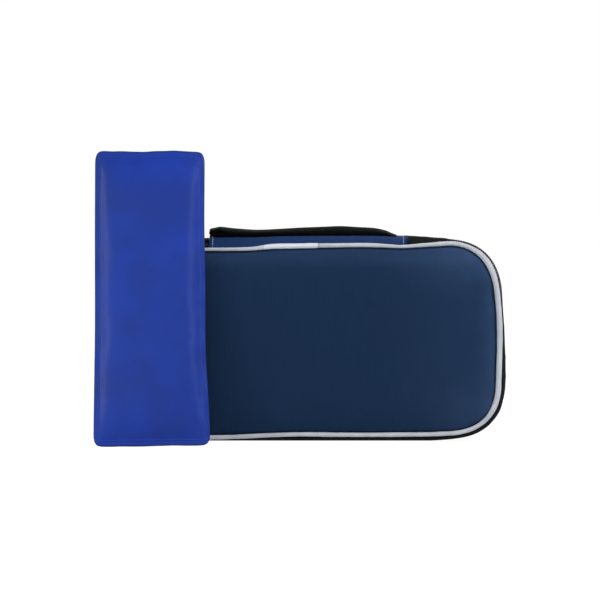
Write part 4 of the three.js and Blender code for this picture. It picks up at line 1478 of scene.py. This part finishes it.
def build_pack():
    pouch = Pouch()
    shape = pouch.shape()
    for word, side in (("front", FRONT), ("back", REAR)):
        film = pack_film(f"pack_{word}_skin", pouch, shape, side)
        placed(film, "gel_pack", "blue_vinyl", f"pack_{word}_film")
    placed(gel_core(pouch, shape), "gel_pack", "gel", "gel_fill")


build_half("front", FRONT)
build_half("rear", REAR)
build_inside()
build_zip()
build_spine()
build_handle()
build_pack()


# Stage, light and camera, in metres
FLOOR_SIZE, FLOOR_LEVEL = 3, -0.0003
FLOOR_GLOW, GLOW_SHARE = 1.12, 0.85
WORLD_LIGHT = 0.17
VIEW_MIDDLE = -0.0043
CAMERA_AWAY, CAMERA_HEIGHT, AIM_HEIGHT = 3.0, 0.29, 0.07125
LENS, SENSOR = 361, 36


def white_floor():
    """A pale floor, white to the camera apart from a soft shadow."""
    bpy.ops.mesh.primitive_plane_add(size=FLOOR_SIZE, location=(0, 0, FLOOR_LEVEL))
    floor = bpy.context.object
    floor.name = "floor"
    paint = Paint("pale_floor", Base_Color=(0.85, 0.85, 0.85, 1), Roughness=0.9)
    mirrored = paint.node("ShaderNodeLightPath", output="Is Glossy Ray")
    seen = paint.node("ShaderNodeLightPath", output="Is Camera Ray").math("MAXIMUM", mirrored)
    glow = paint.node("ShaderNodeEmission", inputs={"Strength": FLOOR_GLOW})
    matt = Wire(paint, paint.shader.outputs[0])
    both = paint.node("ShaderNodeMixShader", inputs={0: seen * GLOW_SHARE, 1: matt, 2: glow})
    paint.feed(paint.tree.nodes["Material Output"].inputs["Surface"], both)
    floor.data.materials.append(paint.material)


def studio_world():
    """White to the camera, soft light to everything else."""
    world = bpy.data.worlds.new("studio")
    world.use_nodes = True
    tree = world.node_tree
    path = tree.nodes.new("ShaderNodeLightPath")
    level = tree.nodes.new("ShaderNodeMapRange")
    seen = path.outputs["Is Camera Ray"]
    for ray in ("Is Glossy Ray", "Is Transmission Ray"):
        either = tree.nodes.new("ShaderNodeMath")
        either.operation = "MAXIMUM"
        tree.links.new(seen, either.inputs[0])
        tree.links.new(path.outputs[ray], either.inputs[1])
        seen = either.outputs[0]
    tree.links.new(seen, level.inputs["Value"])
    level.inputs["To Min"].default_value = WORLD_LIGHT
    level.inputs["To Max"].default_value = 1.0
    background = tree.nodes["Background"]
    background.inputs["Color"].default_value = (1, 1, 1, 1)
    tree.links.new(level.outputs[0], background.inputs["Strength"])
    bpy.context.scene.world = world


def aimed(obj, place, aim):
    """Puts a light or a camera at a place and turns it to a point."""
    obj.location = place
    obj.rotation_euler = (Vector(aim) - Vector(place)).to_track_quat("-Z", "Y").to_euler()
    return obj


def area_light(name, place, aim, size, power):
    lamp = bpy.data.lights.new(name, "AREA")
    lamp.size = size
    lamp.energy = power
    aimed(linked(name, lamp), place, aim)


def camera():
    """The photograph's view: level with the case, a little above it, from far off."""
    front = (ZIP_Y - HALF_DEPTH - PIPING) * MM
    lens = bpy.data.cameras.new("camera")
    lens.sensor_width = SENSOR
    lens.lens = LENS
    lens.clip_end = 20
    place = (VIEW_MIDDLE, front - CAMERA_AWAY, CAMERA_HEIGHT)
    bpy.context.scene.camera = aimed(linked("camera", lens), place, (VIEW_MIDDLE, front, AIM_HEIGHT))


# Lights: place, point they face, size and power
LIGHTS = {
    "front": ((-0.4, -1.6, 0.45), (0, 0, 0.05), 1.2, 4.3),
    "raking": ((0.9, -0.45, 1.15), (0, 0, 0.05), 0.6, 17.5),
    "left": ((-1.2, -0.9, 0.5), (-0.05, 0, 0.07), 0.6, 4.5),
    "right": ((0.9, -1.15, 0.5), (-0.05, 0, 0.07), 0.5, 3),
    "back": ((0.4, 1.6, 0.8), (0, 0, 0.05), 1.0, 5),
    "left_low": ((-1.2, -0.5, 0.3), (-0.08, 0, 0.07), 0.5, 3),
}

bpy.context.scene.view_settings.view_transform = "Standard"
white_floor()
studio_world()
for name, settings in LIGHTS.items():
    area_light(name, *settings)
camera()
